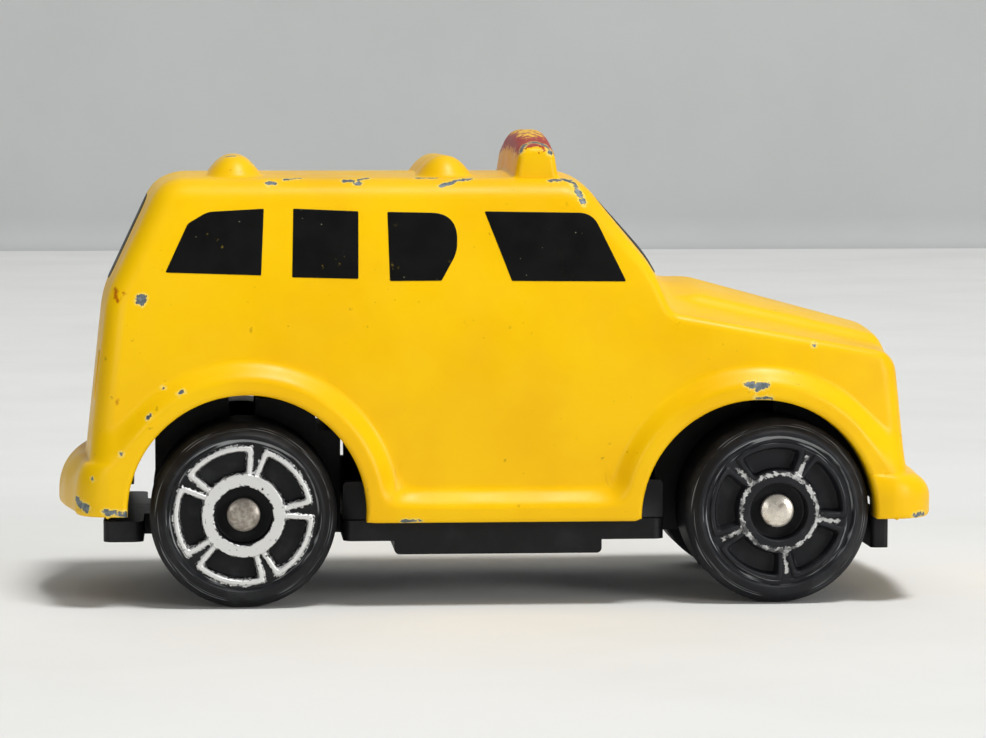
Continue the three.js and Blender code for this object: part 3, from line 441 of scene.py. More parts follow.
@dataclass(frozen=True)
class CastEnamel(Finish):
    """Sprayed stove enamel on die-cast zinc: glossy with a faint orange peel, chipped to grey metal.

    Each chip has a pale rim where the paint film broke, partly a painted highlight along the broken edge. The
    red lamp paint is brushed over the enamel.
    Sizes of patches and the film's depth are in millimetres.
    """

    yellow: str = "#FAC702"
    deep: str = "#F3BB00"
    # The chips' pale rim: the broken film's edge, lightened further as a painted highlight
    pale_rim_highlight: str = "#FBE27A"
    zinc: str = "#939CA0"
    dark_zinc: str = "#626B6F"
    # Near-black colour of the inside and the posts: dull zinc darkened into painted shade for the hollow
    # under the casting
    bare: str = "#2A2926"
    red: str = "#A81E06"
    grime: str = "#8A5A06"
    gloss: float = 0.36
    bare_roughness: float = 0.5
    bare_metallic: float = 0.7
    pale_rim_highlight_strength: float = 0.6
    shine: float = 0.2
    ragged_size: float = 0.35
    cloud_size: float = 7.0
    dust_size: float = 0.42
    dusty_size: float = 5.0
    smear_size: float = 2.2
    peel_size: float = 1.1
    peel_share: float = 0.05
    film: float = 0.04

    def material(self) -> bpy.types.Material:
        """Build the finish; it reads the chip, stain, lamp_paint and inside attributes of the piece.

        Returns:
            The material.
        """
        material, add, place = self.start()
        ragged = add(Kind.NOISE, place, per_mm(self.ragged_size), 3.0, 0.6)
        chip = add(Kind.NUMBER, attribute_name="chip")
        chip = add(Kind.ADD, chip, add(Kind.RAMP, ragged, 0.25, 0.75, -0.10, 0.10))
        bare = add(Kind.RAMP, chip, -0.03, 0.03, 1.0, 0.0)
        # The rim mask round each chip carries the pale rim and its painted highlight
        rim = add(Kind.RAMP, chip, 0.03, 0.17, 1.0, 0.0)
        cloud = add(Kind.RAMP, add(Kind.NOISE, place, per_mm(self.cloud_size), 3.0), 0.35, 0.75)
        colour = add(Kind.MIX, cloud, linear(self.yellow), linear(self.deep))
        dust = add(Kind.RAMP, add(Kind.NOISE, place, per_mm(self.dust_size), 1.0), 0.71, 0.78, 0.0, 0.45)
        dusty = add(Kind.RAMP, add(Kind.NOISE, place, per_mm(self.dusty_size), 2.0), 0.45, 0.7)
        colour = add(Kind.MIX, add(Kind.MULTIPLY, dust, dusty), colour, linear(self.grime))
        stain = add(Kind.NUMBER, attribute_name="stain")
        stain = add(Kind.ADD, stain, add(Kind.RAMP, ragged, 0.25, 0.75, -0.12, 0.12))
        colour = add(Kind.MIX, add(Kind.RAMP, stain, -0.12, 0.12, 0.75, 0.0), colour, linear(self.red))
        lamp = add(Kind.NUMBER, attribute_name="lamp_paint")
        lamp = add(Kind.ADD, lamp, add(Kind.RAMP, ragged, 0.2, 0.8, -0.35, 0.35))
        colour = add(Kind.MIX, add(Kind.RAMP, lamp, -0.06, 0.06), colour, linear(self.red))
        colour = add(Kind.MIX, add(Kind.MULTIPLY, rim, self.pale_rim_highlight_strength), colour, linear(self.pale_rim_highlight))
        metal = add(Kind.MIX, add(Kind.RAMP, ragged, 0.3, 0.7), linear(self.dark_zinc), linear(self.zinc))
        colour = add(Kind.MIX, bare, colour, metal)
        # Inside surfaces and posts take the near-black colour: painted shade for the casting's hollow
        colour = add(Kind.MIX, add(Kind.NUMBER, attribute_name="inside"), colour, linear(self.bare))
        peel = add(Kind.NOISE, place, per_mm(self.peel_size), 2.0)
        height = add(Kind.MULTIPLY_ADD, peel, self.peel_share, add(Kind.MULTIPLY, bare, -1.0))
        smear = add(Kind.NOISE, place, per_mm(self.smear_size), 3.0)
        smear = add(Kind.RAMP, smear, 0.3, 0.7, self.gloss - 0.05, self.gloss + 0.07)
        rough = add(Kind.ADD, smear, add(Kind.RAMP, bare, 0.0, 1.0, 0.0, self.bare_roughness - self.gloss))
        metallic = add(Kind.MULTIPLY, bare, self.bare_metallic)
        self.close(add, height, self.film, Base_Color=colour, Roughness=rough, Metallic=metallic,
                   Specular_IOR_Level=self.shine, IOR=1.5)
        return material


@dataclass(frozen=True)
class WindowPrint(Finish):
    """Pad-printed black ink: satin, with specks rubbed through to the yellow and pale dust."""

    ink: str = "#0B0C0B"
    worn: str = "#6A5A22"
    dust: str = "#9C9984"
    gloss: float = 0.38
    shine: float = 0.12
    speck_size: float = 0.34
    rubbed_size: float = 2.2
    dust_size: float = 0.17
    smear_size: float = 1.5
    relief: float = 0.004

    def material(self) -> bpy.types.Material:
        """Build the finish.

        Returns:
            The material.
        """
        material, add, place = self.start()
        speck = add(Kind.NOISE, place, per_mm(self.speck_size), 2.0, 0.6)
        where = add(Kind.RAMP, add(Kind.NOISE, place, per_mm(self.rubbed_size), 1.0), 0.60, 0.72)
        rubbed = add(Kind.MULTIPLY, add(Kind.RAMP, speck, 0.62, 0.70, 0.0, 0.9), where)
        colour = add(Kind.MIX, rubbed, linear(self.ink), linear(self.worn))
        fleck = add(Kind.RAMP, add(Kind.NOISE, place, per_mm(self.dust_size), 0.0), 0.85, 0.89, 0.0, 0.7)
        colour = add(Kind.MIX, fleck, colour, linear(self.dust))
        smear = add(Kind.NOISE, place, per_mm(self.smear_size), 3.0)
        rough = add(Kind.RAMP, smear, 0.3, 0.7, self.gloss, self.gloss + 0.14)
        height = add(Kind.MULTIPLY, speck, -1.0)
        self.close(add, height, self.relief, Base_Color=colour, Roughness=rough,
                   Specular_IOR_Level=self.shine, IOR=1.5)
        return material


@dataclass(frozen=True)
class MouldedPlastic(Finish):
    """Injection-moulded black polypropylene: satin, fine spark-eroded grain, a little grey dust."""

    black: str = "#141517"
    dust: str = "#26272A"
    roughness: float = 0.5
    shine: float = 0.22
    dust_size: float = 2.4
    # Real spark-eroded grain is finer and would not show in the render
    grain_size: float = 0.16
    grain_depth: float = 0.008

    def material(self) -> bpy.types.Material:
        """Build the finish.

        Returns:
            The material.
        """
        material, add, place = self.start()
        cloud = add(Kind.NOISE, place, per_mm(self.dust_size), 4.0, 0.6)
        cloud = add(Kind.RAMP, cloud, 0.45, 0.8, 0.0, 0.7)
        colour = add(Kind.MIX, cloud, linear(self.black), linear(self.dust))
        grain = add(Kind.NOISE, place, per_mm(self.grain_size), 1.0)
        rough = add(Kind.RAMP, cloud, 0.0, 1.0, self.roughness - 0.08, self.roughness + 0.1)
        self.close(add, grain, self.grain_depth, Base_Color=colour, Roughness=rough,
                   Specular_IOR_Level=self.shine, IOR=1.49)
        return material


@dataclass(frozen=True)
class StampedWheel(Finish):
    """Moulded black polystyrene with hot-stamped silver foil on its raised lines, scuffed round the tyre."""

    black: str = "#101114"
    grey: str = "#9A9D9F"
    foil: str = "#DCDCDA"
    state: FoilState = FoilState.BRIGHT
    roughness: float = 0.52
    foil_roughness: float = 0.36
    foil_metallic: float = 0.35
    shine: float = 0.22
    ragged_size: float = 0.22
    pit_size: float = 0.3
    worn_size: float = 0.9
    dust_size: float = 1.8
    relief: float = 0.004

    def material(self) -> bpy.types.Material:
        """Build the finish; it reads the foil, scuff and polar attributes of the wheel.

        Returns:
            The material.
        """
        material, add, place = self.start()
        ragged = add(Kind.NOISE, place, per_mm(self.ragged_size), 3.0, 0.65)
        if self.state is FoilState.BRIGHT:
            edge = add(Kind.RAMP, ragged, 0.2, 0.8, -0.13, 0.13)
            left = add(Kind.RAMP, add(Kind.NOISE, place, per_mm(self.pit_size), 2.0, 0.7), 0.28, 0.36)
        else:
            edge = add(Kind.RAMP, ragged, 0.2, 0.8, -0.16, 0.08)
            left = add(Kind.NOISE, place, per_mm(self.worn_size), 3.0, 0.7)
            left = add(Kind.RAMP, left, 0.36, 0.56, 0.1, 0.85)
        shown = add(Kind.ADD, add(Kind.NUMBER, attribute_name="foil"), edge)
        silver = add(Kind.MULTIPLY, add(Kind.RAMP, shown, 0.0, 0.05), left)
        streak = add(Kind.NOISE, add(Kind.VECTOR, attribute_name="polar"), 1.0, 2.0)
        scuffed = add(Kind.NUMBER, attribute_name="scuff")
        scuff = add(Kind.MULTIPLY, add(Kind.RAMP, streak, 0.55, 0.68, 0.0, 0.8), scuffed)
        cloud = add(Kind.NOISE, place, per_mm(self.dust_size), 4.0, 0.6)
        cloud = add(Kind.RAMP, cloud, 0.45, 0.85, 0.0, 0.06)
        colour = add(Kind.MIX, cloud, linear(self.black), linear(self.grey))
        colour = add(Kind.MIX, scuff, colour, linear(self.grey))
        colour = add(Kind.MIX, silver, colour, linear(self.foil))
        rough = add(Kind.RAMP, silver, 0.0, 1.0, self.roughness, self.foil_roughness)
        metallic = add(Kind.MULTIPLY, silver, self.foil_metallic)
        self.close(add, ragged, self.relief, Base_Color=colour, Roughness=rough, Metallic=metallic,
                   Specular_IOR_Level=self.shine, IOR=1.55)
        return material


@dataclass(frozen=True)
class WireSteel(Finish):
    """Cold-headed steel wire: dull, with small pits from the heading punch and a trace of rust."""

    steel: str = "#B4ADA3"
    dark: str = "#8F877D"
    rust: str = "#8A6F5A"
    roughness: float = 0.42
    metallic: float = 0.7
    pit_size: float = 0.28
    rust_size: float = 0.5
    pitting: float = 0.012

    def material(self) -> bpy.types.Material:
        """Build the finish.

        Returns:
            The material.
        """
        material, add, place = self.start()
        pits = add(Kind.NOISE, place, per_mm(self.pit_size), 4.0, 0.65)
        colour = add(Kind.MIX, add(Kind.RAMP, pits, 0.35, 0.65), linear(self.dark), linear(self.steel))
        spots = add(Kind.RAMP, add(Kind.NOISE, place, per_mm(self.rust_size), 2.0), 0.6, 0.75, 0.0, 0.5)
        colour = add(Kind.MIX, spots, colour, linear(self.rust))
        rough = add(Kind.RAMP, pits, 0.3, 0.7, self.roughness + 0.15, self.roughness - 0.08)
        self.close(add, pits, self.pitting, Base_Color=colour, Roughness=rough, Metallic=self.metallic)
        return material


@dataclass(frozen=True)
class MattBoard(Finish):
    """Matt painted board: pale, with a faint cloudiness."""

    pale: str = "#F0F0EE"
    shade: str = "#EAEAE7"
    roughness: float = 0.75
    shine: float = 0.1
    cloud_size: float = 40.0
    relief: float = 0.02

    def material(self) -> bpy.types.Material:
        """Build the finish.

        Returns:
            The material.
        """
        material, add, place = self.start()
        cloud = add(Kind.RAMP, add(Kind.NOISE, place, per_mm(self.cloud_size), 4.0, 0.6), 0.35, 0.75)
        colour = add(Kind.MIX, cloud, linear(self.pale), linear(self.shade))
        self.close(add, cloud, self.relief, Base_Color=colour, Roughness=self.roughness,
                   Specular_IOR_Level=self.shine)
        return material


# Wear, placed on the casting

FAR = 9.0
OUTWARD_PULL = 0.02


@dataclass(frozen=True)
class Chip:
    """A patch of lost paint along a line of (x, z) places on one side of the casting.

    Attributes:
        line: Places in millimetres, in the frame of the solids.
        radius: Half the patch's width.
        side: The side of the car that it is on.
    """

    line: tuple[tuple[float, float], ...]
    radius: float
    side: Side = Side.RIGHT

    def distance(self, points: np.ndarray) -> np.ndarray:
        """How far each point of a surface lies outside the patch.

        The line's places are first moved to the nearest points of the surface on the chip's side, with a
        slight pull outwards. The distance is the least one to the line's stretches, less the radius.

        Args:
            points: An n by 3 array.

        Returns:
            Distances in millimetres, below zero inside the patch.
        """
        outward = points[:, 1] * self.side.value
        seats = []
        for x, z in self.line:
            miss = (points[:, 0] - x) ** 2 + (points[:, 2] - z) ** 2 - OUTWARD_PULL * outward
            seats.append(points[np.argmin(np.where(outward > 0.0, miss, np.inf))])
        if len(seats) == 1:
            return np.linalg.norm(points - seats[0], axis=1) - self.radius
        gaps = []
        for start, end in zip(seats, seats[1:]):
            run = end - start
            along = np.clip((points - start) @ run / max(float(run @ run), 1e-9), 0.0, 1.0)
            gaps.append(np.linalg.norm(points - start - along[:, None] * run, axis=1))
        return np.min(gaps, axis=0) - self.radius


CHIPS = (
    Chip(((-13.34, 24.71), (-13.0, 24.76)), 0.20),
    Chip(((-12.6, 24.97), (-11.6, 25.10)), 0.13),
    Chip(((-8.96, 24.94), (-8.5, 24.9)), 0.15),
    Chip(((-8.3, 24.68), (-8.1, 24.7)), 0.17),
    Chip(((-7.9, 24.95), (-7.5, 25.06)), 0.14),
    Chip(((-4.68, 25.05), (-3.56, 25.08)), 0.13),
    Chip(((-3.21, 24.66), (-2.6, 24.8)), 0.15),
    Chip(((-2.33, 24.93), (-1.5, 25.0)), 0.16),
    Chip(((3.27, 24.86), (4.27, 24.92), (4.75, 24.33), (5.04, 23.56)), 0.16),
    Chip(((-20.78, 17.97),), 0.33),
    Chip(((-18.64, 12.6), (-18.5, 12.7)), 0.12),
    Chip(((-19.56, 12.9),), 0.08),
    Chip(((-20.55, 11.22), (-20.4, 11.4)), 0.11),
    Chip(((-22.07, 9.19),), 0.12),
    Chip(((-23.69, 7.63),), 0.13),
    Chip(((-24.74, 6.36), (-24.11, 5.89)), 0.25),
    Chip(((-23.07, 5.75), (-21.8, 5.55)), 0.16),
    Chip(((14.4, 13.02), (15.6, 13.02), (15.04, 12.65)), 0.13),
    Chip(((14.7, 12.9), (15.3, 12.9)), 0.16),
    Chip(((14.93, 12.2), (15.9, 12.2)), 0.09),
    Chip(((18.5, 15.23),), 0.16),
    Chip(((24.5, 5.2), (25.27, 5.14)), 0.12),
    Chip(((-5.9, 5.1), (-4.73, 5.1)), 0.08),
    Chip(((11.57, 18.1), (12.2, 17.9)), 0.16, Side.LEFT),
    Chip(((-15.2, 24.9), (-14.0, 25.0)), 0.18, Side.LEFT),
    Chip(((-6.5, 24.95), (-5.9, 24.8)), 0.15, Side.LEFT),
    Chip(((1.2, 24.9), (2.4, 25.0)), 0.14, Side.LEFT),
    Chip(((-17.9, 12.9), (-17.2, 13.0)), 0.13, Side.LEFT),
    Chip(((17.2, 12.6), (18.1, 12.2)), 0.15, Side.LEFT),
    Chip(((-24.6, 6.0), (-23.9, 5.7)), 0.22, Side.LEFT),
    Chip(((24.9, 5.3), (25.5, 5.9)), 0.2, Side.LEFT),
)
STAINS = (
    Chip(((-22.39, 18.57), (-22.25, 17.9)), 0.12),
    Chip(((-21.87, 18.3),), 0.10),
    Chip(((-22.26, 12.2),), 0.09),
)
BAR_CHIPS = (
    Chip(((-15.95, 26.5), (-15.4, 26.34)), 0.13),
    Chip(((-14.31, 25.97), (-14.15, 25.9)), 0.10),
)
LIGHT_BAR_CHIPS = (
    Chip(((1.45, 26.6), (1.75, 27.0), (2.3, 27.2), (2.9, 27.02), (3.25, 26.55)), 0.15),
)


def wear(points: np.ndarray, chips: tuple[Chip, ...]) -> np.ndarray:
    """The least distance from each point to any of some patches, capped at a far value."""
    gaps = [chip.distance(points) for chip in chips]
    return np.minimum(np.min(gaps, axis=0), FAR) if gaps else np.full(len(points), FAR)


def enamel_values(points: np.ndarray, chips: tuple[Chip, ...], stains: tuple[Chip, ...] = ()) -> dict:
    """The attributes that the enamel reads, with no lamp paint.

    Args:
        points: The piece's points.
        chips: Patches of lost paint.
        stains: Red smudges.

    Returns:
        Values by attribute name.
    """
    no_paint = np.full(len(points), -FAR)
    return {"chip": wear(points, chips), "stain": wear(points, stains), "lamp_paint": no_paint}


# The casting


@dataclass
class Casting:
    """The hollow zinc body: a surface over a side profile and a lower edge.

    Lengths are taken from the two axles, as on the real tool. The sides are a height over the side view:
    half a width that is fullest at the belly, plus flares, sills and bumpers near the lower edge. A quarter
    round joins them to a skin that crosses the car, crowned in the middle.
    """

    sill_height: float = 4.97
    rear_rim_height: float = 5.4
    belly_height: float = 12.0
    roof_height: float = 25.05
    cowl_height: float = 17.2
    nose_height: float = 14.7
    rear_bumper_top: float = 8.6
    front_bumper_top: float = 7.6
    bumper_shoulder: float = 6.1
    rear_overhang: float = 3.5
    front_overhang: float = 2.38
    half_width: float = 10.6
    tumblehome: float = 2.1
    tuck_under: float = 0.3
    nose_taper: float = 0.7
    tail_taper: float = 0.3
    taper_length: float = 10.0
    wall: float = 1.25
    edge_radius: float = 1.3
    hood_edge: float = 0.6
    nose_edge: float = 1.0
    inner_edge: float = 0.4
    roof_crown: float = 0.3
    rear_bow: float = 0.42
    screen_bow: float = 0.7
    cowl_crown: float = 1.75
    hood_crown: float = 0.65
    crown_power: float = 1.5
    nose_bow: float = 0.5
    bumper_bow: float = 0.8
    cowl_blend: float = 2.4
    top_lean: float = 0.3
    end_lean: float = 0.9
    panel_half_width: float = 5.9
    panel_height: float = 0.45
    panel_edge: float = 0.8
    arch_gap: float = 1.46
    flare_depth: float = 0.85
    flare_flat: float = 0.8
    flare_width: float = 2.1
    flare_blend: float = 1.2
    flare_wrap: float = 0.9
    flare_level: float = 1.8
    rear_bumper: float = 0.85
    front_bumper: float = 1.45
    rim_round: float = 0.3
    slot_height: float = 0.45
    slot_pitch: float = 0.9
    slot_half_width: float = 4.1
    slot_depth: float = 0.45
    slot_soft: float = 0.09
    slots: int = 4
    lamp_height: float = 11.6
    rear_arch_offset: tuple[float, float] = (0.22, 0.08)
    front_arch_offset: tuple[float, float] = (-1.14, -0.35)
    roof_rear_set: float = 4.28
    roof_front_set: float = 11.46
    pillar_bend_set: float = 7.28
    pillar_bend_height: float = 19.65
    cowl_set: float = 6.23
    nose_set: float = 0.78
    gate_set: float = 1.05
    gate_height: float = 18.2

    def __post_init__(self) -> None:
        """Work out the places and the two guiding curves."""
        self.arch_radius = WHEEL_RADIUS + self.arch_gap
        self.rear_arch = np.array([REAR_AXLE_X, AXLE_HEIGHT]) + self.rear_arch_offset
        self.front_arch = np.array([FRONT_AXLE_X, AXLE_HEIGHT]) + self.front_arch_offset
        self.rear_x = REAR_AXLE_X - WHEEL_RADIUS - self.rear_overhang
        self.front_x = FRONT_AXLE_X + WHEEL_RADIUS + self.front_overhang
        self.roof_rear_x = self.rear_x + self.roof_rear_set
        self.roof_front_x = FRONT_AXLE_X - self.roof_front_set
        self.pillar_bend_x = FRONT_AXLE_X - self.pillar_bend_set
        self.cowl_x = FRONT_AXLE_X - self.cowl_set
        self.nose_x = self.front_x - self.nose_set
        self.profile = rounded_path([
            (self.rear_x, self.rear_rim_height),
            (self.rear_x, self.rear_bumper_top, 6.0),
            (self.rear_x + self.gate_set, self.gate_height, 6.0),
            (self.roof_rear_x, self.roof_height, 2.2),
            (self.roof_front_x, self.roof_height, 2.6),
            (self.pillar_bend_x, self.pillar_bend_height, 8.0),
            (self.cowl_x, self.cowl_height, 0.9),
            (self.nose_x, self.nose_height, 1.6),
            (self.front_x, self.front_bumper_top, 6.0),
            (self.front_x, self.sill_height),
        ])
        self.lower = self.lower_edge()

    def lower_edge(self) -> Path:
        """The lower edge of a side: rear rim, arch, sill, arch and front rim.

        Returns:
            The edge, in the side view.
        """
        def base(arch: np.ndarray, height: float) -> float:
            """The angle at which an arch stands on a height."""
            return math.asin((height - arch[1]) / self.arch_radius)

        rear_end, front_end = base(self.rear_arch, self.sill_height), base(self.front_arch, self.sill_height)
        rear_start = math.pi - base(self.rear_arch, self.rear_rim_height)
        return Path(np.concatenate([
            [[self.rear_x + self.edge_radius, self.rear_rim_height]],
            arc(self.rear_arch, self.arch_radius, rear_start, rear_end),
            arc(self.front_arch, self.arch_radius, math.pi - front_end, front_end),
            [[self.front_x - self.nose_edge, self.sill_height]],
        ]))

    def side_width(self, x: np.ndarray, z: np.ndarray) -> np.ndarray:
        """Half the plain width: the full one less squares of the way to roof, sill, nose and tail.

        Args:
            x: Places along the car.
            z: Heights.

        Returns:
            Distances from the middle plane.
        """
        above = np.maximum(0.0, z - self.belly_height) / (self.roof_height - self.belly_height)
        below = np.maximum(0.0, self.belly_height - z) / (self.belly_height - self.sill_height)
        ahead = np.maximum(0.0, x - self.front_x + self.taper_length) / self.taper_length
        behind = np.maximum(0.0, self.rear_x + self.taper_length - x) / self.taper_length
        drawn_in = self.tumblehome * above ** 2 + self.tuck_under * below ** 2
        return self.half_width - drawn_in - self.nose_taper * ahead ** 2 - self.tail_taper * behind ** 2

    def bumper_share(self, z: np.ndarray, top: float) -> np.ndarray:
        """How fully a bumper stands out: wholly up to its shoulder, then a quarter ellipse to its top."""
        above = np.clip((z - self.bumper_shoulder) / (top - self.bumper_shoulder), 0.0, 1.0)
        return np.sqrt(1.0 - above ** 2)

    def raised(self, x: np.ndarray, z: np.ndarray, side_share: np.ndarray | float) -> np.ndarray:
        """How far flares, sills and bumpers stand out of the plain body.

        Flares and sills are a smooth step of the distance to the lower edge. They run on round the corners
        and fade there with the side's share of the surface. The bumpers take over beyond the arches.

        Args:
            x: Places along the car.
            z: Heights.
            side_share: One on the sides, falling to zero on the skin.

        Returns:
            Distances out.
        """
        reach = self.arch_radius + self.flare_wrap
        along = blended_least(x, self.front_arch[0] + reach, self.flare_level)
        along = blended_most(along, self.rear_arch[0] - reach, self.flare_level)
        place = np.stack([along, z], axis=-1)
        to_rear = np.linalg.norm(place - self.rear_arch, axis=-1) - self.arch_radius
        to_front = np.linalg.norm(place - self.front_arch, axis=-1) - self.arch_radius
        to_edge = blended_least(np.minimum(to_rear, to_front), z - self.sill_height, self.flare_blend)
        flare = side_share * self.flare_depth * (1.0 - smoothstep(to_edge, self.flare_flat, self.flare_width))
        behind = self.rear_arch[0] - self.arch_radius - x
        ahead = x - self.front_arch[0] - self.arch_radius
        turn = self.edge_radius
        rear = self.bumper_share(z, self.rear_bumper_top) * smoothstep(behind, -turn, turn)
        front = self.bumper_share(z, self.front_bumper_top) * smoothstep(ahead, -turn, turn)
        return lerp(lerp(flare, self.rear_bumper, rear), self.front_bumper, front)

    def side_y(self, x: np.ndarray, z: np.ndarray) -> np.ndarray:
        """The distance of the painted side from the middle plane."""
        return self.side_width(x, z) + self.raised(x, z, 1.0)

    def nose_share(self, top: np.ndarray, normal: np.ndarray) -> np.ndarray:
        """How far the bonnet has turned down into the nose."""
        lean = smoothstep(normal[:, 0], self.top_lean, self.end_lean)
        return lean * smoothstep(top[:, 0], self.cowl_x, self.nose_x)

    def edge_at(self, top: np.ndarray, normal: np.ndarray) -> np.ndarray:
        """The radius between side and skin: full on the roof, tight on the bonnet, fuller down the nose.

        Args:
            top: Profile places.
            normal: Profile normals.

        Returns:
            One radius for each place.
        """
        down = smoothstep(top[:, 0], self.roof_front_x, self.cowl_x)
        pillar = lerp(self.edge_radius, self.hood_edge, down)
        nose = lerp(self.hood_edge, self.nose_edge, self.nose_share(top, normal))
        return np.where(top[:, 0] < self.cowl_x, pillar, nose)

    def crown(self, top: np.ndarray, normal: np.ndarray) -> np.ndarray:
        """How the skin's middle is crowned: out along the profile's normal, but straight up on the bonnet.

        Args:
            top: Profile places.
            normal: Profile normals.

        Returns:
            One (x, z) vector for each place.
        """
        rear = self.rear_bow + self.bumper_bow * self.bumper_share(top[:, 1], self.rear_bumper_top)
        behind = lerp(self.roof_crown, rear, smoothstep(-normal[:, 0], self.top_lean, self.end_lean))
        down = smoothstep(top[:, 0], self.roof_front_x, self.pillar_bend_x)
        bow = np.where(top[:, 0] < self.roof_front_x, behind, lerp(self.roof_crown, self.screen_bow, down))
        ahead = np.clip((top[:, 0] - self.cowl_x) / (self.nose_x - self.cowl_x), 0.0, 1.0)
        hood = np.array([[0.0, 1.0]]) * lerp(self.cowl_crown, self.hood_crown, ahead)[:, None]
        to_hood = smoothstep(top[:, 0], self.pillar_bend_x, self.cowl_x)[:, None]
        lift = lerp(normal * bow[:, None], hood, to_hood)
        return lerp(lift, normal * self.nose_bow, self.nose_share(top, normal)[:, None])

    def crown_fall(self, shares: np.ndarray) -> np.ndarray:
        """The part of the crown at a share of the flat width: one less its square, to a power."""
        return (1.0 - shares ** 2) ** self.crown_power

    def skin(self, top: np.ndarray, normal: np.ndarray, shares: np.ndarray,
             proud: float = 0.0) -> tuple[np.ndarray, np.ndarray]:
        """The skin across the car: the crown, bumpers and bonnet panel, with the grille's slots sunk in.

        Args:
            top: Profile places.
            normal: Profile normals.
            shares: Shares of the flat half width, one row for each place.
            proud: How far above the skin.

        Returns:
            Distances across, and places (x, z).
        """
        flat = self.side_width(top[:, 0], top[:, 1]) - self.edge_at(top, normal)
        y = flat[:, None] * shares
        lift = self.crown(top, normal)
        past_cowl = smoothstep(top[:, 0], self.cowl_x, self.cowl_x + self.cowl_blend)
        on_hood = past_cowl * (1.0 - self.nose_share(top, normal))
        across = 1.0 - smoothstep(np.abs(y), self.panel_half_width, self.panel_half_width + self.panel_edge)
        rise = self.raised(top[:, 0], top[:, 1], 0.0)[:, None] + self.panel_height * on_hood[:, None] * across
        on_nose = (top[:, 0] > self.cowl_x) & (normal[:, 0] > self.end_lean)
        steps = np.arange(self.slots) - (self.slots - 1) / 2.0
        off = np.min(np.abs(top[:, 1:2] - self.lamp_height - steps * self.slot_pitch), axis=1)
        half, soft, end = self.slot_height / 2, self.slot_soft, self.slot_half_width
        up = 1.0 - smoothstep(off, half - soft, half + soft)
        along = 1.0 - smoothstep(np.abs(y), end - 2 * soft, end + 2 * soft)
        bow = np.linalg.norm(lift, axis=1)[:, None]
        fall = self.crown_fall(shares)
        cut = np.maximum(0.0, rise - bow * (1.0 - fall) + self.slot_depth)
        rise = rise - cut * (up * on_nose)[:, None] * along
        place = top[:, None] + lift[:, None] * fall[..., None] + normal[:, None] * (rise + proud)[..., None]
        return y, place

    def half_rings(self, stations: np.ndarray, columns: "Columns", wall: float) -> np.ndarray:
        """Half rings of the surface from the lower edge to the middle, moved in by a wall.

        Args:
            stations: Shares of the profile and of the lower edge, n by 2.
            columns: How each ring is divided.
            wall: The distance from the painted surface; zero for the outside.

        Returns:
            An n by m by 3 array with positive y.
        """
        outside = wall == 0.0
        normal = self.profile.normal(stations[:, 0])
        top = self.profile.at(stations[:, 0])
        radius = self.edge_at(top, normal)[:, None] if outside else np.full((len(top), 1), self.inner_edge)
        inset = top - normal * (wall + radius)
        low_normal = self.lower.normal(stations[:, 1], self.flare_width / self.lower.length)
        low = self.lower.at(stations[:, 1]) + low_normal * (self.rim_round if outside else 0.0)
        band = np.minimum(self.flare_width, np.linalg.norm(inset - low, axis=1) / 2)[:, None]
        flare_top = low + low_normal * band
        flare = low[:, None] + (flare_top - low)[:, None] * columns.flare[None, :, None]
        side = flare_top[:, None] + (inset - flare_top)[:, None] * columns.side[None, :, None]
        places = np.concatenate([flare, side], axis=1)
        y = self.side_width(places[..., 0], places[..., 1]) - wall
        if outside:
            y = y + self.raised(places[..., 0], places[..., 1], 1.0)
        turn = columns.turns[None, :]
        edge = inset[:, None] + normal[:, None] * (radius * np.cos(turn))[..., None]
        edge_y = self.side_width(edge[..., 0], edge[..., 1]) - wall - radius * (1.0 - np.sin(turn))
        if outside:
            share = np.sin(turn) ** 2
            first = self.raised(edge[..., 0], edge[..., 1], share)
            moved = edge + normal[:, None] * (first * np.cos(turn))[..., None]
            out = self.raised(moved[..., 0], moved[..., 1], share)
            edge_y = edge_y + out * np.sin(turn)
            edge = edge + normal[:, None] * (out * np.cos(turn))[..., None]
        shares = np.broadcast_to(columns.skin[None, :], (len(top), len(columns.skin)))
        if outside:
            skin_y, skin = self.skin(top, normal, shares)
        else:
            skin_y = edge_y[:, -1:] * shares
            lift = self.crown(top, normal)[:, None] * self.crown_fall(shares)[..., None]
            skin = (top - normal * wall)[:, None] + lift
        flat = np.concatenate([places, edge, skin], axis=1)
        across = np.concatenate([y, edge_y, skin_y], axis=1)
        return np.stack([flat[..., 0], across, flat[..., 1]], axis=-1)

    def roof_at(self, y: np.ndarray) -> np.ndarray:
        """The height of the roof across the car.

        The crown falls to the edge round, which drops by r (1 - sqrt(1 - q squared)).

        Args:
            y: Distances across.

        Returns:
            Heights.
        """
        flat = self.half_width - self.tumblehome - self.edge_radius
        share = np.clip(np.abs(y) / flat, 0.0, 1.0)
        over = np.clip((np.abs(y) - flat) / self.edge_radius, 0.0, 1.0)
        drop = self.edge_radius * (1.0 - np.sqrt(1.0 - over ** 2))
        return self.roof_height + self.roof_crown * self.crown_fall(share) - drop

    def on_end(self, x: float, z: float, y: float) -> tuple[np.ndarray, ...]:
        """A place on the nose or tail, with the skin's own directions there.

        Args:
            x: About where the end is along the car.
            z: The height.
            y: The distance across.

        Returns:
            The place, the skin's normal, and the directions across and up it.
        """
        share = np.array([self.profile.nearest(x, z)])
        top, normal = self.profile.at(share), self.profile.normal(share)
        flat = (self.side_width(top[:, 0], top[:, 1]) - self.edge_at(top, normal))[0]
        lift, part = self.crown(top, normal)[0], y / flat
        slope = 2.0 * self.crown_power * part * (1.0 - part ** 2) ** (self.crown_power - 1.0)
        facing = unit(np.array([normal[0, 0], np.linalg.norm(lift) * slope / flat, normal[0, 1]]))
        across = unit(np.array([-facing[1], facing[0], 0.0]))
        place = top[0] + lift * self.crown_fall(np.array(part))
        return np.array([place[0], y, place[1]]), facing, across, np.cross(facing, across)

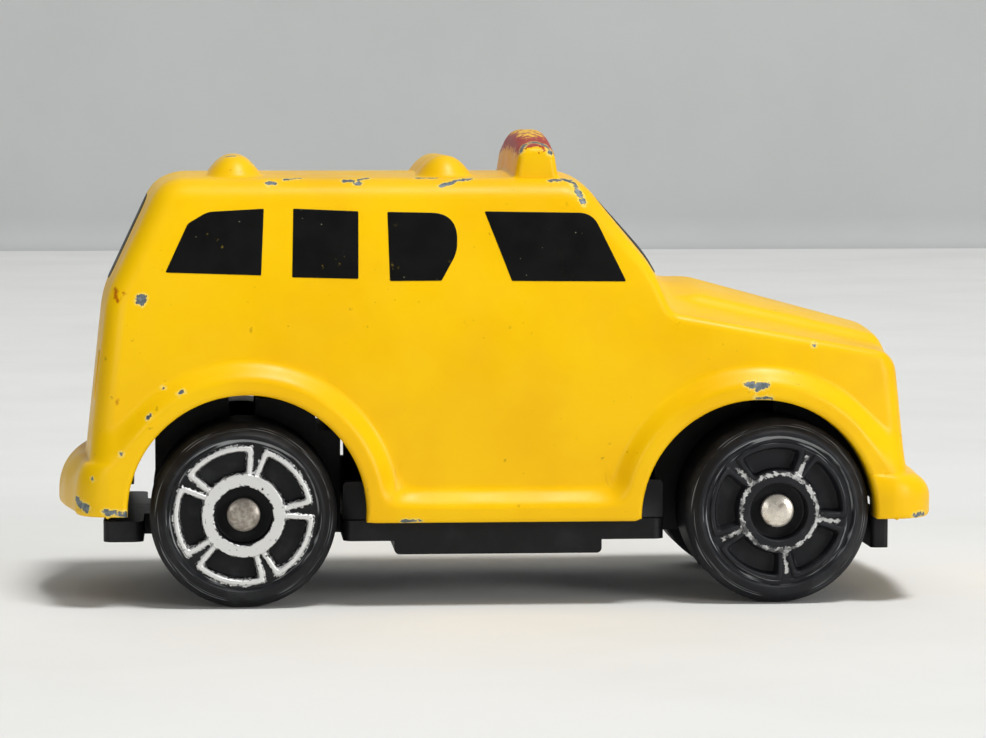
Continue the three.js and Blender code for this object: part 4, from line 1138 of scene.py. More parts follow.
    def stations(self) -> np.ndarray:
        """Shares of the profile paired with shares of the lower edge, straight between matched places.

        Each row below has a place on the profile, one on the lower edge and a count of stations up to it.

        Returns:
            An n by 2 array.
        """
        def on_arch(arch: np.ndarray, degrees: float) -> tuple[float, float]:
            """A place on an arch."""
            turn = math.radians(degrees)
            return tuple(arch + self.arch_radius * np.array([math.cos(turn), math.sin(turn)]))

        def on_roof(share: float) -> tuple[float, float]:
            """A place along the roof."""
            return self.roof_rear_x + (self.roof_front_x - self.roof_rear_x) * share, self.roof_height

        shoulder, front_sill = self.bumper_shoulder, (self.front_x, self.sill_height)
        matches = [
            ((self.rear_x, shoulder), on_arch(self.rear_arch, 173), 14),
            ((self.rear_x, self.rear_bumper_top), on_arch(self.rear_arch, 158), 32),
            ((self.rear_x, self.belly_height), on_arch(self.rear_arch, 140), 20),
            (on_roof(0.0), on_arch(self.rear_arch, 105), 48),
            (on_roof(0.32), on_arch(self.rear_arch, 75), 24),
            (on_roof(0.56), on_arch(self.rear_arch, 0), 40),
            (on_roof(0.94), on_arch(self.front_arch, 180), 32),
            ((self.cowl_x, self.cowl_height), on_arch(self.front_arch, 125), 48),
            ((self.front_arch[0], self.cowl_height), on_arch(self.front_arch, 95), 24),
            ((self.nose_x, self.nose_height), on_arch(self.front_arch, 58), 44),
            ((self.front_x, self.front_bumper_top), on_arch(self.front_arch, 24), 76),
            ((self.front_x, shoulder), on_arch(self.front_arch, 9), 28),
            (front_sill, front_sill, 16),
        ]
        rows = [np.zeros((1, 2))]
        for top, edge, count in matches:
            end = np.array([self.profile.nearest(*top), self.lower.nearest(*edge)])
            step = np.linspace(0.0, 1.0, count + 1)[1:, None]
            rows.append(rows[-1][-1] + (end - rows[-1][-1]) * step)
        shares = np.concatenate(rows)
        rounding = self.rim_round / self.profile.length
        shares[:, 0] = np.clip(shares[:, 0], rounding, 1.0 - rounding)
        return shares


@dataclass
class Columns:
    """How a half ring of the casting is divided: along flare, side, edge round and skin."""

    flare: np.ndarray = field(default_factory=lambda: np.linspace(0.0, 1.0, 16)[:-1])
    side: np.ndarray = field(default_factory=lambda: np.linspace(0.0, 1.0, 24))
    turns: np.ndarray = field(default_factory=lambda: np.radians(np.linspace(90.0, 0.0, 10)[1:]))
    skin: np.ndarray = field(default_factory=lambda: np.concatenate([
        np.linspace(1.0, 0.82, 5)[1:], np.linspace(0.82, 0.62, 11)[1:], np.linspace(0.62, 0.54, 3)[1:],
        np.linspace(0.54, 0.40, 13)[1:], np.linspace(0.40, 0.0, 9)[1:]]))


def mirrored(half: np.ndarray) -> np.ndarray:
    """Whole rings from half rings: up the right side, across and down the left."""
    right = half * np.array([1.0, -1.0, 1.0])
    return np.concatenate([right, half[:, -2::-1]], axis=1)


@dataclass
class CastForm:
    """A form of the casting that is shown as a piece of its own.

    Attributes:
        name: The piece's name.
        casting: The casting's shape.
        enamel: The finish.
    """

    name: str
    casting: Casting
    enamel: bpy.types.Material

    def piece(self) -> Piece:
        """The piece, with the casting's body and slot."""
        return Piece(self.name, "car_body", "body_enamel", ("body_shell",))

    def cast(self, rings: np.ndarray, chips: tuple[Chip, ...] = (), **values: np.ndarray) -> bpy.types.Object:
        """Build the form from closed rings.

        Args:
            rings: An n by m by 3 array.
            chips: Its patches of lost paint.
            **values: Attributes of its points that differ from plain enamel.

        Returns:
            The piece.
        """
        values = enamel_values(rings.reshape(-1, 3), chips) | values
        return self.piece().build_rings(rings, self.enamel, values)


@dataclass
class Shell(CastForm):
    """The hollow shell: outside, rolled rim, flat rim and inside as one closed surface."""

    roll_steps: int = 5
    inner_every: int = 4
    sharp: float = 50.0

    def rolled_rim(self, edge: np.ndarray, down: np.ndarray, inward: np.ndarray) -> np.ndarray:
        """A quarter round under an edge: down by r sin t and in by r (1 - cos t).

        Args:
            edge: Places along the edge.
            down: The way down at each.
            inward: The way in at each.

        Returns:
            Rows of places, one for each step of the round.
        """
        turn = np.linspace(0.0, math.pi / 2, self.roll_steps + 1)[1:]
        radius = self.casting.rim_round
        sin, cos = np.sin(turn)[:, None, None], np.cos(turn)[:, None, None]
        return edge[None] + down[None] * radius * sin + inward[None] * radius * (1.0 - cos)

    def build(self) -> bpy.types.Object:
        """Join the four surfaces at their edges.

        Returns:
            The shell.
        """
        form, columns = self.casting, Columns()
        stations = form.stations()
        outer = mirrored(form.half_rings(stations, columns, 0.0))
        inner_full = mirrored(form.half_rings(stations, columns, form.wall))
        count, width = outer.shape[:2]
        low_normal = form.lower.normal(stations[:, 1], form.flare_width / form.lower.length)
        down_low = np.stack([-low_normal[:, 0], np.zeros(count), -low_normal[:, 1]], axis=-1)
        down = np.broadcast_to(np.array([0.0, 0.0, -1.0]), (width, 3))
        inward = unit((inner_full - outer) * np.array([1.0, 1.0, 0.0]))
        left_to_mid = np.broadcast_to(np.array([0.0, 1.0, 0.0]), (count, 3))
        first = self.rolled_rim(outer[:, 0], down_low, left_to_mid)
        last = self.rolled_rim(outer[:, -1], down_low, -left_to_mid)
        rear = self.rolled_rim(outer[0], down, inward[0])
        front = self.rolled_rim(outer[-1], down, inward[-1])
        deeper = np.maximum.outer(np.arange(self.roll_steps), np.arange(self.roll_steps))

        def end_rows(rows: np.ndarray, station: int) -> np.ndarray:
            """Rows of an end's rolled rim, with the corners of both sides."""
            return np.concatenate([first[deeper, station][:, ::-1], rows, last[deeper, station]], axis=1)

        middle = np.concatenate([np.moveaxis(first, 0, 1)[:, ::-1], outer, np.moveaxis(last, 0, 1)], axis=1)
        skin = np.concatenate([end_rows(rear, 0)[::-1], middle, end_rows(front, -1)], axis=0)
        rows, wide = skin.shape[:2]
        kept = np.unique(np.concatenate([np.arange(0, width, self.inner_every), [width - 1]]))
        inner = inner_full[:, kept]
        inner_rows, inner_wide = inner.shape[:2]
        offset = rows * wide
        points = np.concatenate([skin.reshape(-1, 3), inner.reshape(-1, 3)])
        faces = grid_faces(rows, wide).tolist() + (grid_faces(inner_rows, inner_wide) + offset).tolist()
        faces += self.rim_faces(skin.shape[:2], inner.shape[:2], kept, offset)
        painted = enamel_values(points[:offset], CHIPS, STAINS)
        hidden = enamel_values(points[offset:], ())
        values = {key: np.concatenate([painted[key], hidden[key]]) for key in painted}
        # The inner surface is marked so that the enamel paints it near black as painted shade
        values["inside"] = (np.arange(len(points)) >= offset).astype(float)
        return self.piece().build(points, faces, self.enamel, values, self.sharp)

    def rim_faces(self, skin: tuple[int, int], inner: tuple[int, int], kept: np.ndarray, offset: int) -> list:
        """Faces of the flat rim between the rolled edge and the inside.

        Along the sides each station of the rolled edge meets the same station inside. Along the ends each
        inner column meets a run of outer columns.

        Args:
            skin: Rows and columns outside, rolled edge included.
            inner: Rows and columns inside.
            kept: The outer column of each inner column.
            offset: The number of the first inner point.

        Returns:
            Corner lists.
        """
        roll = self.roll_steps
        rows, wide = skin
        inner_rows, inner_wide = inner
        station = np.arange(inner_rows - 1)
        faces = []
        for outer_column, inner_column in ((0, 0), (wide - 1, inner_wide - 1)):
            a = (station + roll) * wide + outer_column
            b = offset + station * inner_wide + inner_column
            faces += np.stack([a, a + wide, b + inner_wide, b], axis=-1).tolist()
        nearest = np.clip(np.searchsorted(kept, np.arange(wide) - roll, side="right") - 1, 0, inner_wide - 1)
        column = np.arange(wide - 1)
        for outer_row, inner_row in ((0, 0), (rows - 1, inner_rows - 1)):
            a = outer_row * wide + column
            b = offset + inner_row * inner_wide + nearest
            stepped = nearest[1:] != nearest[:-1]
            faces += np.stack([a, a + 1, b[:-1]], axis=-1).tolist()
            faces += np.stack([a + 1, b[1:], b[:-1]], axis=-1)[stepped].tolist()
        first, last = np.arange(roll), np.arange(rows - roll - 1, rows - 1)
        for station_row, outer_rows in ((0, first), (inner_rows - 1, last)):
            for outer_column, inner_column in ((0, 0), (wide - 1, inner_wide - 1)):
                a = outer_rows * wide + outer_column
                b = np.full(len(a), offset + station_row * inner_wide + inner_column)
                faces += np.stack([a, a + wide, b], axis=-1).tolist()
        return faces


@dataclass
class RoofBar(CastForm):
    """A low bar across the roof.

    Rings of one distance lie round the bar's middle line. The height over the roof falls as one less a
    power of that distance over the half width, and blends into the roof by a fillet.
    """

    x: float
    chips: tuple[Chip, ...]
    half_length: float = 6.8
    half_width: float = 1.65
    height: float = 1.2
    power: float = 2.2
    fillet: float = 0.3
    skirt: float = 1.28
    buried: float = 0.015
    least: float = 0.1
    sunk: float = 0.35

    def build(self) -> bpy.types.Object:
        """Lay the rings on the roof and close them below it.

        Returns:
            The bar.
        """
        straight = self.half_length - self.half_width
        shares = np.concatenate([np.linspace(0.0, 1.0, 22), np.linspace(1.0, self.skirt, 8)[1:]])
        reach = shares * self.half_width
        turn = np.linspace(0.0, FULL_TURN, 160, endpoint=False)
        ends = np.where(np.sin(turn) >= 0.0, straight, -straight)
        dx = reach[:, None] * np.cos(turn)[None]
        y = ends[None] + reach[:, None] * np.sin(turn)[None]
        fall = self.height * (1.0 - (reach / self.half_width) ** self.power)
        rise = blended_most(fall, np.zeros_like(fall), self.fillet) - self.buried
        top = np.stack([self.x + dx, y, self.casting.roof_at(y) + rise[:, None]], axis=-1)
        under = top[::-1].copy()
        under[..., 2] = np.minimum(under[..., 2] - self.least, self.casting.roof_height - self.sunk)
        return self.cast(np.concatenate([top, under]), self.chips)


@dataclass
class LightBar(CastForm):
    """The light bar: a rounded upright section carried across, drawn in at its ends.

    The section's inset at an end is r (1 - sqrt(1 - q squared)) over the last r of length, its height
    falls with the square of the distance from the middle, and its foot spreads into the roof.
    """

    x: float
    half_length: float = 7.6
    half_width: float = 1.3
    top_half: float = 1.0
    top_round: float = 0.85
    height: float = 2.5
    end_drop: float = 0.75
    end_round: float = 0.42
    foot: float = 0.4
    buried: float = 0.03
    sunk: float = 0.5
    hub_drop: float = 0.1
    paint_from: float = 1.35
    paint_to: float = 0.93
    paint_end: float = 0.6

    def section(self) -> np.ndarray:
        """The closed section: up one side, over the top, down the other and back below the roof.

        Returns:
            Places along the car and above the roof, n by 2.
        """
        side = [(self.half_width + self.foot, -self.buried), (self.half_width, 0.0, self.foot),
                (self.top_half, self.height, self.top_round)]
        corners = side + [(-x, *rest) for x, *rest in side[::-1]]
        upper = rounded_path(corners).at(np.linspace(0.0, 1.0, 72))
        below = np.linspace(upper[-1], upper[0], 9)[1:-1] * [1.0, 0.0] - [0.0, self.sunk]
        return np.concatenate([upper, below])

    def build(self) -> bpy.types.Object:
        """Carry the section across the roof and close its ends.

        Returns:
            The bar.
        """
        loop = self.section()
        straight = self.half_length - self.end_round
        turn = np.linspace(0.0, math.pi / 2, 9)[1:]
        run = np.concatenate([np.linspace(0.0, straight, 26),
                              self.half_length - self.end_round * (1.0 - np.sin(turn))])
        y = np.concatenate([-run[:0:-1], run])
        q = np.clip((np.abs(y) - self.half_length + self.end_round) / self.end_round, 0.0, 1.0)
        inset = self.end_round * (1.0 - np.sqrt(1.0 - q ** 2))
        fall = 1.0 - self.end_drop / self.height * (y / self.half_length) ** 2
        dx = loop[None, :, 0] * (1.0 - inset / self.half_width)[:, None]
        level = loop[None, :, 1]
        dz = np.where(level > 0.0, level * (fall * (1.0 - inset / self.height))[:, None], level)
        across = np.broadcast_to(y[:, None], dx.shape)
        rings = np.stack([self.x + dx, across, self.casting.roof_at(across) + dz], axis=-1)
        hubs = [(self.x, y[end], self.casting.roof_at(y[end]) - self.hub_drop) for end in (0, -1)]
        caps = [np.broadcast_to(np.array(hub), rings[0].shape) for hub in hubs]
        rings = np.concatenate([caps[0][None], rings, caps[1][None]])
        lift = np.concatenate([dz[:1], dz, dz[-1:]])
        from_end = self.half_length - self.end_round * self.paint_end - np.abs(rings[..., 1])
        lamp = np.minimum(np.minimum(lift - self.paint_from, from_end), self.height * self.paint_to - lift)
        return self.cast(rings, LIGHT_BAR_CHIPS, lamp_paint=lamp.ravel())


@dataclass
class HeadLamp(CastForm):
    """A head lamp: a turned bezel round a domed lens, about the nose's normal."""

    side: Side
    y: float = 6.4
    radius: float = 1.6
    bezel: float = 0.3
    relief: float = 0.15
    skirt: float = 0.03
    root: float = -0.5

    def build(self) -> bpy.types.Object:
        """Turn the lamp's outline about the normal.

        Returns:
            The lamp.
        """
        form, relief, outer = self.casting, self.relief, self.radius + self.skirt
        place, normal, across, up = form.on_end(form.front_x, form.lamp_height, self.y * self.side.value)
        lens = self.radius - self.bezel
        outline = rounded_path([
            (0.0, relief), (lens * 0.55, relief * 0.9, 0.4), (lens - 0.03, -0.02, 0.08),
            (lens + 0.02, relief, 0.05), (self.radius, relief, 0.08), (outer, 0.0, 0.03),
            (outer, self.root, 0.05), (0.0, self.root),
        ]).at(np.linspace(0.0, 1.0, 90))
        return self.cast(turned(outline, 72, place, across, up, normal))


@dataclass
class TailLamp(CastForm):
    """A tail lamp: rings of a rounded rectangle, its face swelling by an ellipse from its rim.

    The rectangle has the cosine and sine of its turn, to a power, for its places across and up.
    """

    side: Side
    y: float = 8.0
    z: float = 13.6
    half_width: float = 0.75
    half_height: float = 1.5
    power: float = 0.45
    flat: float = 0.8
    relief: float = 0.1
    root: float = -0.5

    def build(self) -> bpy.types.Object:
        """Lay the rings on the tail and close them inside it.

        Returns:
            The lamp.
        """
        form, flat = self.casting, self.flat
        place, normal, across, up = form.on_end(form.rear_x, self.z, self.y * self.side.value)
        turn = np.linspace(0.0, FULL_TURN, 96, endpoint=False)
        round_box = np.stack([np.cos(turn), np.sin(turn)], axis=-1)
        outline = np.sign(round_box) * np.abs(round_box) ** self.power * [self.half_width, self.half_height]
        size = np.concatenate([np.linspace(0.0, flat, 6), np.linspace(flat, 1.0, 9)[1:], [1.0, 0.0]])
        past_flat = np.clip((size - flat) / (1.0 - flat), 0.0, 1.0)
        lift = self.relief * np.sqrt(1.0 - past_flat ** 2)
        lift[-2:] = self.root
        sheet = outline[:, :1] * across + outline[:, 1:] * up
        return self.cast(place + size[:, None, None] * sheet[None] + lift[:, None, None] * normal)


@dataclass
class Post(CastForm):
    """A post from the roof down to the chassis: a turned, slightly tapered column."""

    rivet: str
    foot: float = 1.4
    neck: float = 1.6
    clear: float = 0.01
    sunk: float = 0.8

    def build(self) -> bpy.types.Object:
        """Turn the post's outline above its rivet.

        Returns:
            The post.
        """
        low, high = (np.array(corner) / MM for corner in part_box(self.rivet))
        x = (low[0] + high[0]) / 2
        profile = self.casting.profile.points
        crest = profile[profile[:, 1] > self.casting.belly_height]
        bottom = self.casting.sill_height + self.clear
        top = np.interp(x, crest[:, 0], crest[:, 1]) - self.casting.wall * self.sunk
        outline = rounded_path([(0.0, bottom), (self.foot, bottom, 0.15), (self.neck, top, 0.05), (0.0, top)])
        rings = turned(outline.at(np.linspace(0.0, 1.0, 40)), 48, x * ALONG, ALONG, ACROSS, UP)
        # The post is painted near black like the inside: painted shade in the hollow of the casting
        return self.cast(rings, inside=np.ones(rings[..., 0].size))


@dataclass
class BodyShell:
    """The painted casting: its hollow shell, roof bars, light bar, lamps and posts."""

    casting: Casting
    enamel: bpy.types.Material
    rear_bar_set: float = 4.3
    front_bar_set: float = 7.9
    light_bar_set: float = 2.55

    def build(self) -> None:
        """Build every piece of the casting."""
        form, enamel = self.casting, self.enamel
        Shell("body_casting", form, enamel).build()
        RoofBar("rear_roof_bar", form, enamel, form.roof_rear_x + self.rear_bar_set, BAR_CHIPS).build()
        RoofBar("front_roof_bar", form, enamel, form.roof_front_x - self.front_bar_set, ()).build()
        LightBar("light_bar", form, enamel, form.roof_front_x - self.light_bar_set).build()
        for side in Side:
            label = side.name.lower()
            HeadLamp(f"{label}_head_lamp", form, enamel, side).build()
            TailLamp(f"{label}_tail_lamp", form, enamel, side).build()
        Post("rear_post", form, enamel, "rear_rivet").build()
        Post("front_post", form, enamel, "front_rivet").build()


@dataclass
class WindowPrints:
    """The black windows printed on the casting, as ink films that follow its surface.

    Side windows are corners (x, z, radius) in the side view. The screens are boxes on the skin, by heights
    on the profile and by a share of the flat width.
    """

    casting: Casting
    ink: bpy.types.Material
    proud: float = 0.02
    film: float = 0.05
    rings: int = 40
    around: int = 240
    screen_power: float = 0.28
    side_windows: tuple[tuple[str, tuple[tuple[float, float, float], ...]], ...] = (
        ("rear_quarter", ((-19.46, 19.6, 0.05), (-18.15, 22.42, 0.5), (-17.0, 23.1, 1.4),
                          (-13.72, 23.28, 0.06), (-13.9, 19.42, 0.05))),
        ("rear_door", ((-12.0, 23.28, 0.06), (-8.2, 23.12, 0.06), (-8.24, 19.2, 0.06), (-12.1, 19.3, 0.06))),
        ("middle_door", ((-6.5, 23.08, 0.06), (-2.4, 23.0, 1.55), (-2.45, 20.75, 2.0), (-3.38, 19.08, 0.08),
                         (-6.4, 19.07, 0.06))),
        ("front_door", ((-0.8, 23.1, 0.06), (5.55, 23.0, 1.3), (7.47, 19.0, 0.08), (0.75, 19.05, 0.06))),
    )

    def outline(self, corners: tuple[tuple[float, float, float], ...], steps: int = 40) -> np.ndarray:
        """The closed outline of a window: straight edges with parabolas at the corners.

        Args:
            corners: (x, z, radius) in order.
            steps: Points along each parabola.

        Returns:
            Places along the outline.
        """
        middle = tuple((np.array(corners[0][:2]) + corners[-1][:2]) / 2)
        path = rounded_path([middle, *corners, middle], steps)
        return path.at(np.linspace(0.0, 1.0, self.around, endpoint=False))

    def film_piece(self, name: str, outline: np.ndarray,
                   surface: Callable[[np.ndarray, np.ndarray], np.ndarray]) -> bpy.types.Object:
        """Build a film: rings of the outline drawn towards its middle, laid on a surface.

        Args:
            name: The piece's name.
            outline: Places in the surface's own two measures.
            surface: Turns those measures into places in space.

        Returns:
            The film.
        """
        centre = outline.mean(axis=0)
        size = np.linspace(0.0, 1.0, self.rings)[:, None, None]
        flat = centre + size * (outline - centre)[None]
        rings = surface(flat[..., 0], flat[..., 1])
        shown = Piece(name, "car_body", "body_enamel").build_rings(rings, self.ink)
        wall = shown.modifiers.new("ink_film", "SOLIDIFY")
        wall.thickness = self.film * MM
        wall.offset = -1.0
        return shown

    def on_side(self, side: Side) -> Callable[[np.ndarray, np.ndarray], np.ndarray]:
        """The painted side, a film's height out, as a function of x and z.

        Args:
            side: The side of the car.

        Returns:
            The function.
        """
        def surface(x: np.ndarray, z: np.ndarray) -> np.ndarray:
            """Places on the side."""
            return np.stack([x, side.value * (self.casting.side_y(x, z) + self.proud), z], axis=-1)
        return surface

    def on_skin(self, share: np.ndarray, across: np.ndarray) -> np.ndarray:
        """Places on the skin, a film's height out, by share of the profile and share of the flat width.

        Args:
            share: Shares of the profile.
            across: Shares of the flat half width.

        Returns:
            One place for each pair.
        """
        form = self.casting
        flat_share = share.ravel()
        top, normal = form.profile.at(flat_share), form.profile.normal(flat_share)
        y, place = form.skin(top, normal, across.reshape(-1, 1), self.proud)
        return np.stack([place[:, 0, 0], y[:, 0], place[:, 0, 1]], axis=-1).reshape(*share.shape, 3)

    def build(self) -> None:
        """Build four films on each side, the windscreen and the rear window."""
        for side in Side:
            for name, corners in self.side_windows:
                full_name = f"{side.name.lower()}_{name}_window"
                self.film_piece(full_name, self.outline(corners), self.on_side(side))
        form = self.casting
        screens = (
            ("windscreen", (form.roof_front_x + 1.4, 24.3), (form.cowl_x - 0.9, 18.9), 0.72),
            ("rear_window", (form.rear_x + 1.25, 18.9), (form.roof_rear_x - 0.75, 23.9), 0.5),
        )
        for name, start, end, half in screens:
            low, high = form.profile.nearest(*start), form.profile.nearest(*end)
            turn = np.linspace(0.0, FULL_TURN, self.around, endpoint=False)
            box = np.stack([np.cos(turn), np.sin(turn)], axis=-1)
            box = np.sign(box) * np.abs(box) ** self.screen_power
            middle, reach = (low + high) / 2, (high - low) / 2
            outline = np.stack([middle + reach * box[:, 0], half * box[:, 1]], axis=-1)
            self.film_piece(name, outline, self.on_skin)


@dataclass
class Chassis:
    """The moulded chassis, with the edges of its solid rounded, and its two rivets."""

    plastic: bpy.types.Material
    steel: bpy.types.Material
    edge_round: float = 0.12
    merged: float = 1e-3
    rivet_head: float = 0.5
    rivet_shank: float = 0.78

    def build_moulding(self) -> bpy.types.Object:
        """Copy the solid, merge its corners and round its edges.

        Returns:
            The moulding.
        """
        solid = frame["nodes"]["chassis_base"]
        mesh = solid.data.copy()
        work = bmesh.new()
        work.from_mesh(mesh)
        bmesh.ops.remove_doubles(work, verts=work.verts, dist=self.merged * MM)
        bmesh.ops.dissolve_limit(work, angle_limit=math.radians(1.0), verts=work.verts, edges=work.edges)
        work.to_mesh(mesh)
        work.free()
        mesh.shade_smooth()
        mesh.set_sharp_from_angle(angle=math.radians(30.0))
        piece = Piece("chassis_moulding", "car_body", "chassis_plastic", ("chassis_base",))
        shown = piece.place(bpy.data.objects.new(piece.name, mesh), self.plastic)
        bevel = shown.modifiers.new("moulded_edges", "BEVEL")
        bevel.width = self.edge_round * MM
        bevel.segments = 2
        bevel.limit_method = "ANGLE"
        bevel.angle_limit = math.radians(40.0)
        return shown

    def build_rivet(self, node: str) -> bpy.types.Object:
        """Build a rivet: a turned domed head and its shank.

        Args:
            node: The rivet's solid.

        Returns:
            The rivet.
        """
        low, high = (np.array(corner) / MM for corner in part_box(node))
        x, head = (low[0] + high[0]) / 2, (high[0] - low[0]) / 2
        bottom, seat = low[2], low[2] + self.rivet_head
        outline = rounded_path([
            (0.0, bottom), (head * 0.55, bottom + 0.02, 0.5), (head, seat - 0.2, 0.15), (head, seat, 0.04),
            (self.rivet_shank, seat, 0.05), (self.rivet_shank, high[2], 0.08), (0.0, high[2]),
        ]).at(np.linspace(0.0, 1.0, 60))
        piece = Piece(f"{node}_turned", "car_body", "rivet_steel", (node,))
        return piece.build_rings(turned(outline, 64, x * ALONG, ALONG, ACROSS, UP), self.steel)

    def build(self) -> None:
        """Build the moulding and both rivets."""
        self.build_moulding()
        self.build_rivet("rear_rivet")
        self.build_rivet("front_rivet")


@dataclass
class Wheel:
    """A one-piece wheel: a turned section with five sectors sunk in its face, each in a raised outline."""

    end: str
    side: Side
    spoke_angle: float
    state: FoilState
    finish: bpy.types.Material
    radius: float = AXLE_HEIGHT
    width: float = 6.0
    boss: float = 0.4
    bore: float = 0.68
    tread: float = 1.3
    tube_wall: float = 0.9
    disc: float = 1.5
    recess_depth: float = 1.3
    ring_inner: float = 1.7
    ring_outer: float = 2.4
    rim: float = 4.42
    shoulder: float = 0.8
    face_drop: float = 0.22
    pocket_inner: float = 2.44
    pocket_outer: float = 3.74
    pocket_half_angle: float = 26.6
    pocket_depth: float = 0.6
    pocket_corner: float = 0.2
    ridge_width: float = 0.36
    ridge_height: float = 0.16
    streak_half: float = 0.16
    residue_radius: float = 2.24
    wall_draft: float = 0.12
    pockets: int = 5
    around: int = 320
    shoulder_scuff: float = 0.7
    scuffs_around: float = 1.8
    scuffs_across: float = 10.0
    scuffs_deep: float = 5.0

    def section(self) -> np.ndarray:
        """The closed section as (radius, depth behind the outer face): face, tyre, hollow back and bore.

        Returns:
            An n by 2 array.
        """
        tyre = self.radius - self.shoulder
        well, tube = self.radius - self.tread, self.bore + self.tube_wall
        disc = self.recess_depth + self.disc
        back = self.width + self.boss
        face = rounded_path([
            (self.bore, self.recess_depth), (self.ring_inner, self.recess_depth, 0.12),
            (self.ring_inner, 0.0, 0.10), (self.ring_outer, 0.0, 0.07),
            (self.ring_outer + 0.06, self.face_drop, 0.05), (self.rim - 0.1, self.face_drop, 0.12),
            (self.rim + 0.04, 0.0, 0.10), (tyre, 0.0, 0.3), (self.radius, self.shoulder, 0.8),
            (self.radius, self.width / 2),
        ])
        rear = rounded_path([
            (self.radius, self.width / 2), (self.radius, self.width - 0.1, 0.5), (well, self.width, 0.1),
            (well, disc, 0.3), (tube, disc, 0.2), (tube, back, 0.1), (self.bore, back, 0.1),
            (self.bore, self.recess_depth),
        ])
        front_points = face.at(np.linspace(0.0, 1.0, 170, endpoint=False))
        return np.concatenate([front_points, rear.at(np.linspace(0.0, 1.0, 60, endpoint=False))])

    def to_pocket(self, radius: np.ndarray, angle: np.ndarray) -> np.ndarray:
        """The distance outside the nearest sector: the greatest of those to its arcs and radial sides.

        Args:
            radius: Distances from the hub.
            angle: Angles in radians.

        Returns:
            Distances, below zero inside a sector.
        """
        step = FULL_TURN / self.pockets
        from_spoke = (angle - math.radians(self.spoke_angle)) % step
        from_middle = np.abs(from_spoke - step / 2)
        ring = blended_most(self.pocket_inner - radius, radius - self.pocket_outer, self.pocket_corner)
        aside = radius * np.sin(np.clip(from_middle - math.radians(self.pocket_half_angle), -1.2, 1.2))
        return blended_most(ring, aside, self.pocket_corner)

    def spoke_line(self, radius: np.ndarray, angle: np.ndarray) -> np.ndarray:
        """How far inside the streak of foil left along each spoke, wider where it leaves the ring.

        Args:
            radius: Distances from the hub.
            angle: Angles in radians.

        Returns:
            Distances, above zero inside a streak.
        """
        step = FULL_TURN / self.pockets
        from_spoke = (angle - math.radians(self.spoke_angle) + step / 2) % step - step / 2
        fork = 1.0 - smoothstep(radius, self.ring_outer - 0.1, self.ring_outer + 0.4)
        streak = self.streak_half * (1.0 + fork) - radius * np.abs(np.sin(from_spoke))
        return np.minimum(np.minimum(streak, radius - self.residue_radius), self.pocket_outer - radius)

    def scuffing(self, radius: np.ndarray) -> np.ndarray:
        """How much the face is rubbed at a radius: most on the rim lip, less on the shoulder of the tyre.

        Args:
            radius: Distances from the hub.

        Returns:
            Shares of the full rubbing.
        """
        lip = smoothstep(radius, self.rim - 0.5, self.rim - 0.3)
        lip = lip - smoothstep(radius, self.rim, self.rim + 0.2)
        edge = self.radius - self.shoulder / 3
        shoulder = smoothstep(radius, edge - 0.3, edge - 0.2)
        shoulder = shoulder - smoothstep(radius, edge - 0.05, edge + 0.05)
        return lip + self.shoulder_scuff * shoulder

    def build(self) -> bpy.types.Object:
        """Turn the section, press the sectors into its face and set the wheel on its hub.

        The ridge round a sector is one less the fourth power of the way from its middle line.

        Returns:
            The wheel.
        """
        node = f"{self.end}_{self.side.name.lower()}_wheel"
        centre = JOINTS[f"{node}_spin"]
        low, high = (np.array(corner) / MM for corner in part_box(node))
        face_y = low[1] if self.side is Side.RIGHT else high[1]
        section = self.section()
        angle = np.linspace(0.0, FULL_TURN, self.around, endpoint=False)
        radius, turn = np.meshgrid(section[:, 0], angle, indexing="ij")
        depth = np.broadcast_to(section[:, 1:], radius.shape).copy()
        gap = self.to_pocket(radius, turn)
        on_face = (depth < self.recess_depth / 2) & (radius > self.ring_inner)
        past_ring = smoothstep(radius, self.ring_outer - 0.02, self.ring_outer + 0.06)
        inside_rim = 1.0 - smoothstep(radius, self.rim - 0.14, self.rim - 0.04)
        sunk = self.pocket_depth * smoothstep(-gap, -self.wall_draft / 3, self.wall_draft)
        half = self.ridge_width / 2
        crest = np.clip(1.0 - ((gap - half) / half) ** 4, 0.0, 1.0)
        depth = depth + (sunk - self.ridge_height * crest) * on_face * past_ring * inside_rim
        hub_line = np.minimum(radius - self.ring_inner - 0.02, self.ring_outer + 0.05 - radius)
        line = np.minimum(gap + 0.03, self.ridge_width + 0.02 - gap)
        if self.state is FoilState.WORN:
            hub_line = self.streak_half - np.abs(radius - self.residue_radius)
            line = self.spoke_line(radius, turn)
        foil = np.where(on_face, np.maximum(hub_line, np.minimum(line, radius - self.ring_inner)), -1.0)
        scuff = self.scuffing(radius) * (depth < self.shoulder)
        outwards = radius * self.scuffs_across + depth * self.scuffs_deep
        around = self.scuffs_around
        streaks = np.stack([np.cos(turn) * around, np.sin(turn) * around, outwards], axis=-1)
        outward = self.side.value
        x = centre[0] - outward * radius * np.cos(turn)
        rings = np.stack([x, face_y - outward * depth, centre[2] + radius * np.sin(turn)], axis=-1)
        values = {"foil": foil.ravel(), "scuff": scuff.ravel(), "polar": streaks.reshape(-1, 3)}
        faces = grid_faces(*radius.shape, ringed=True, looped=True).tolist()
        piece = Piece(f"{node}_moulding", node, "wheel_plastic", (node,))
        return piece.build(rings.reshape(-1, 3), faces, self.finish, values)


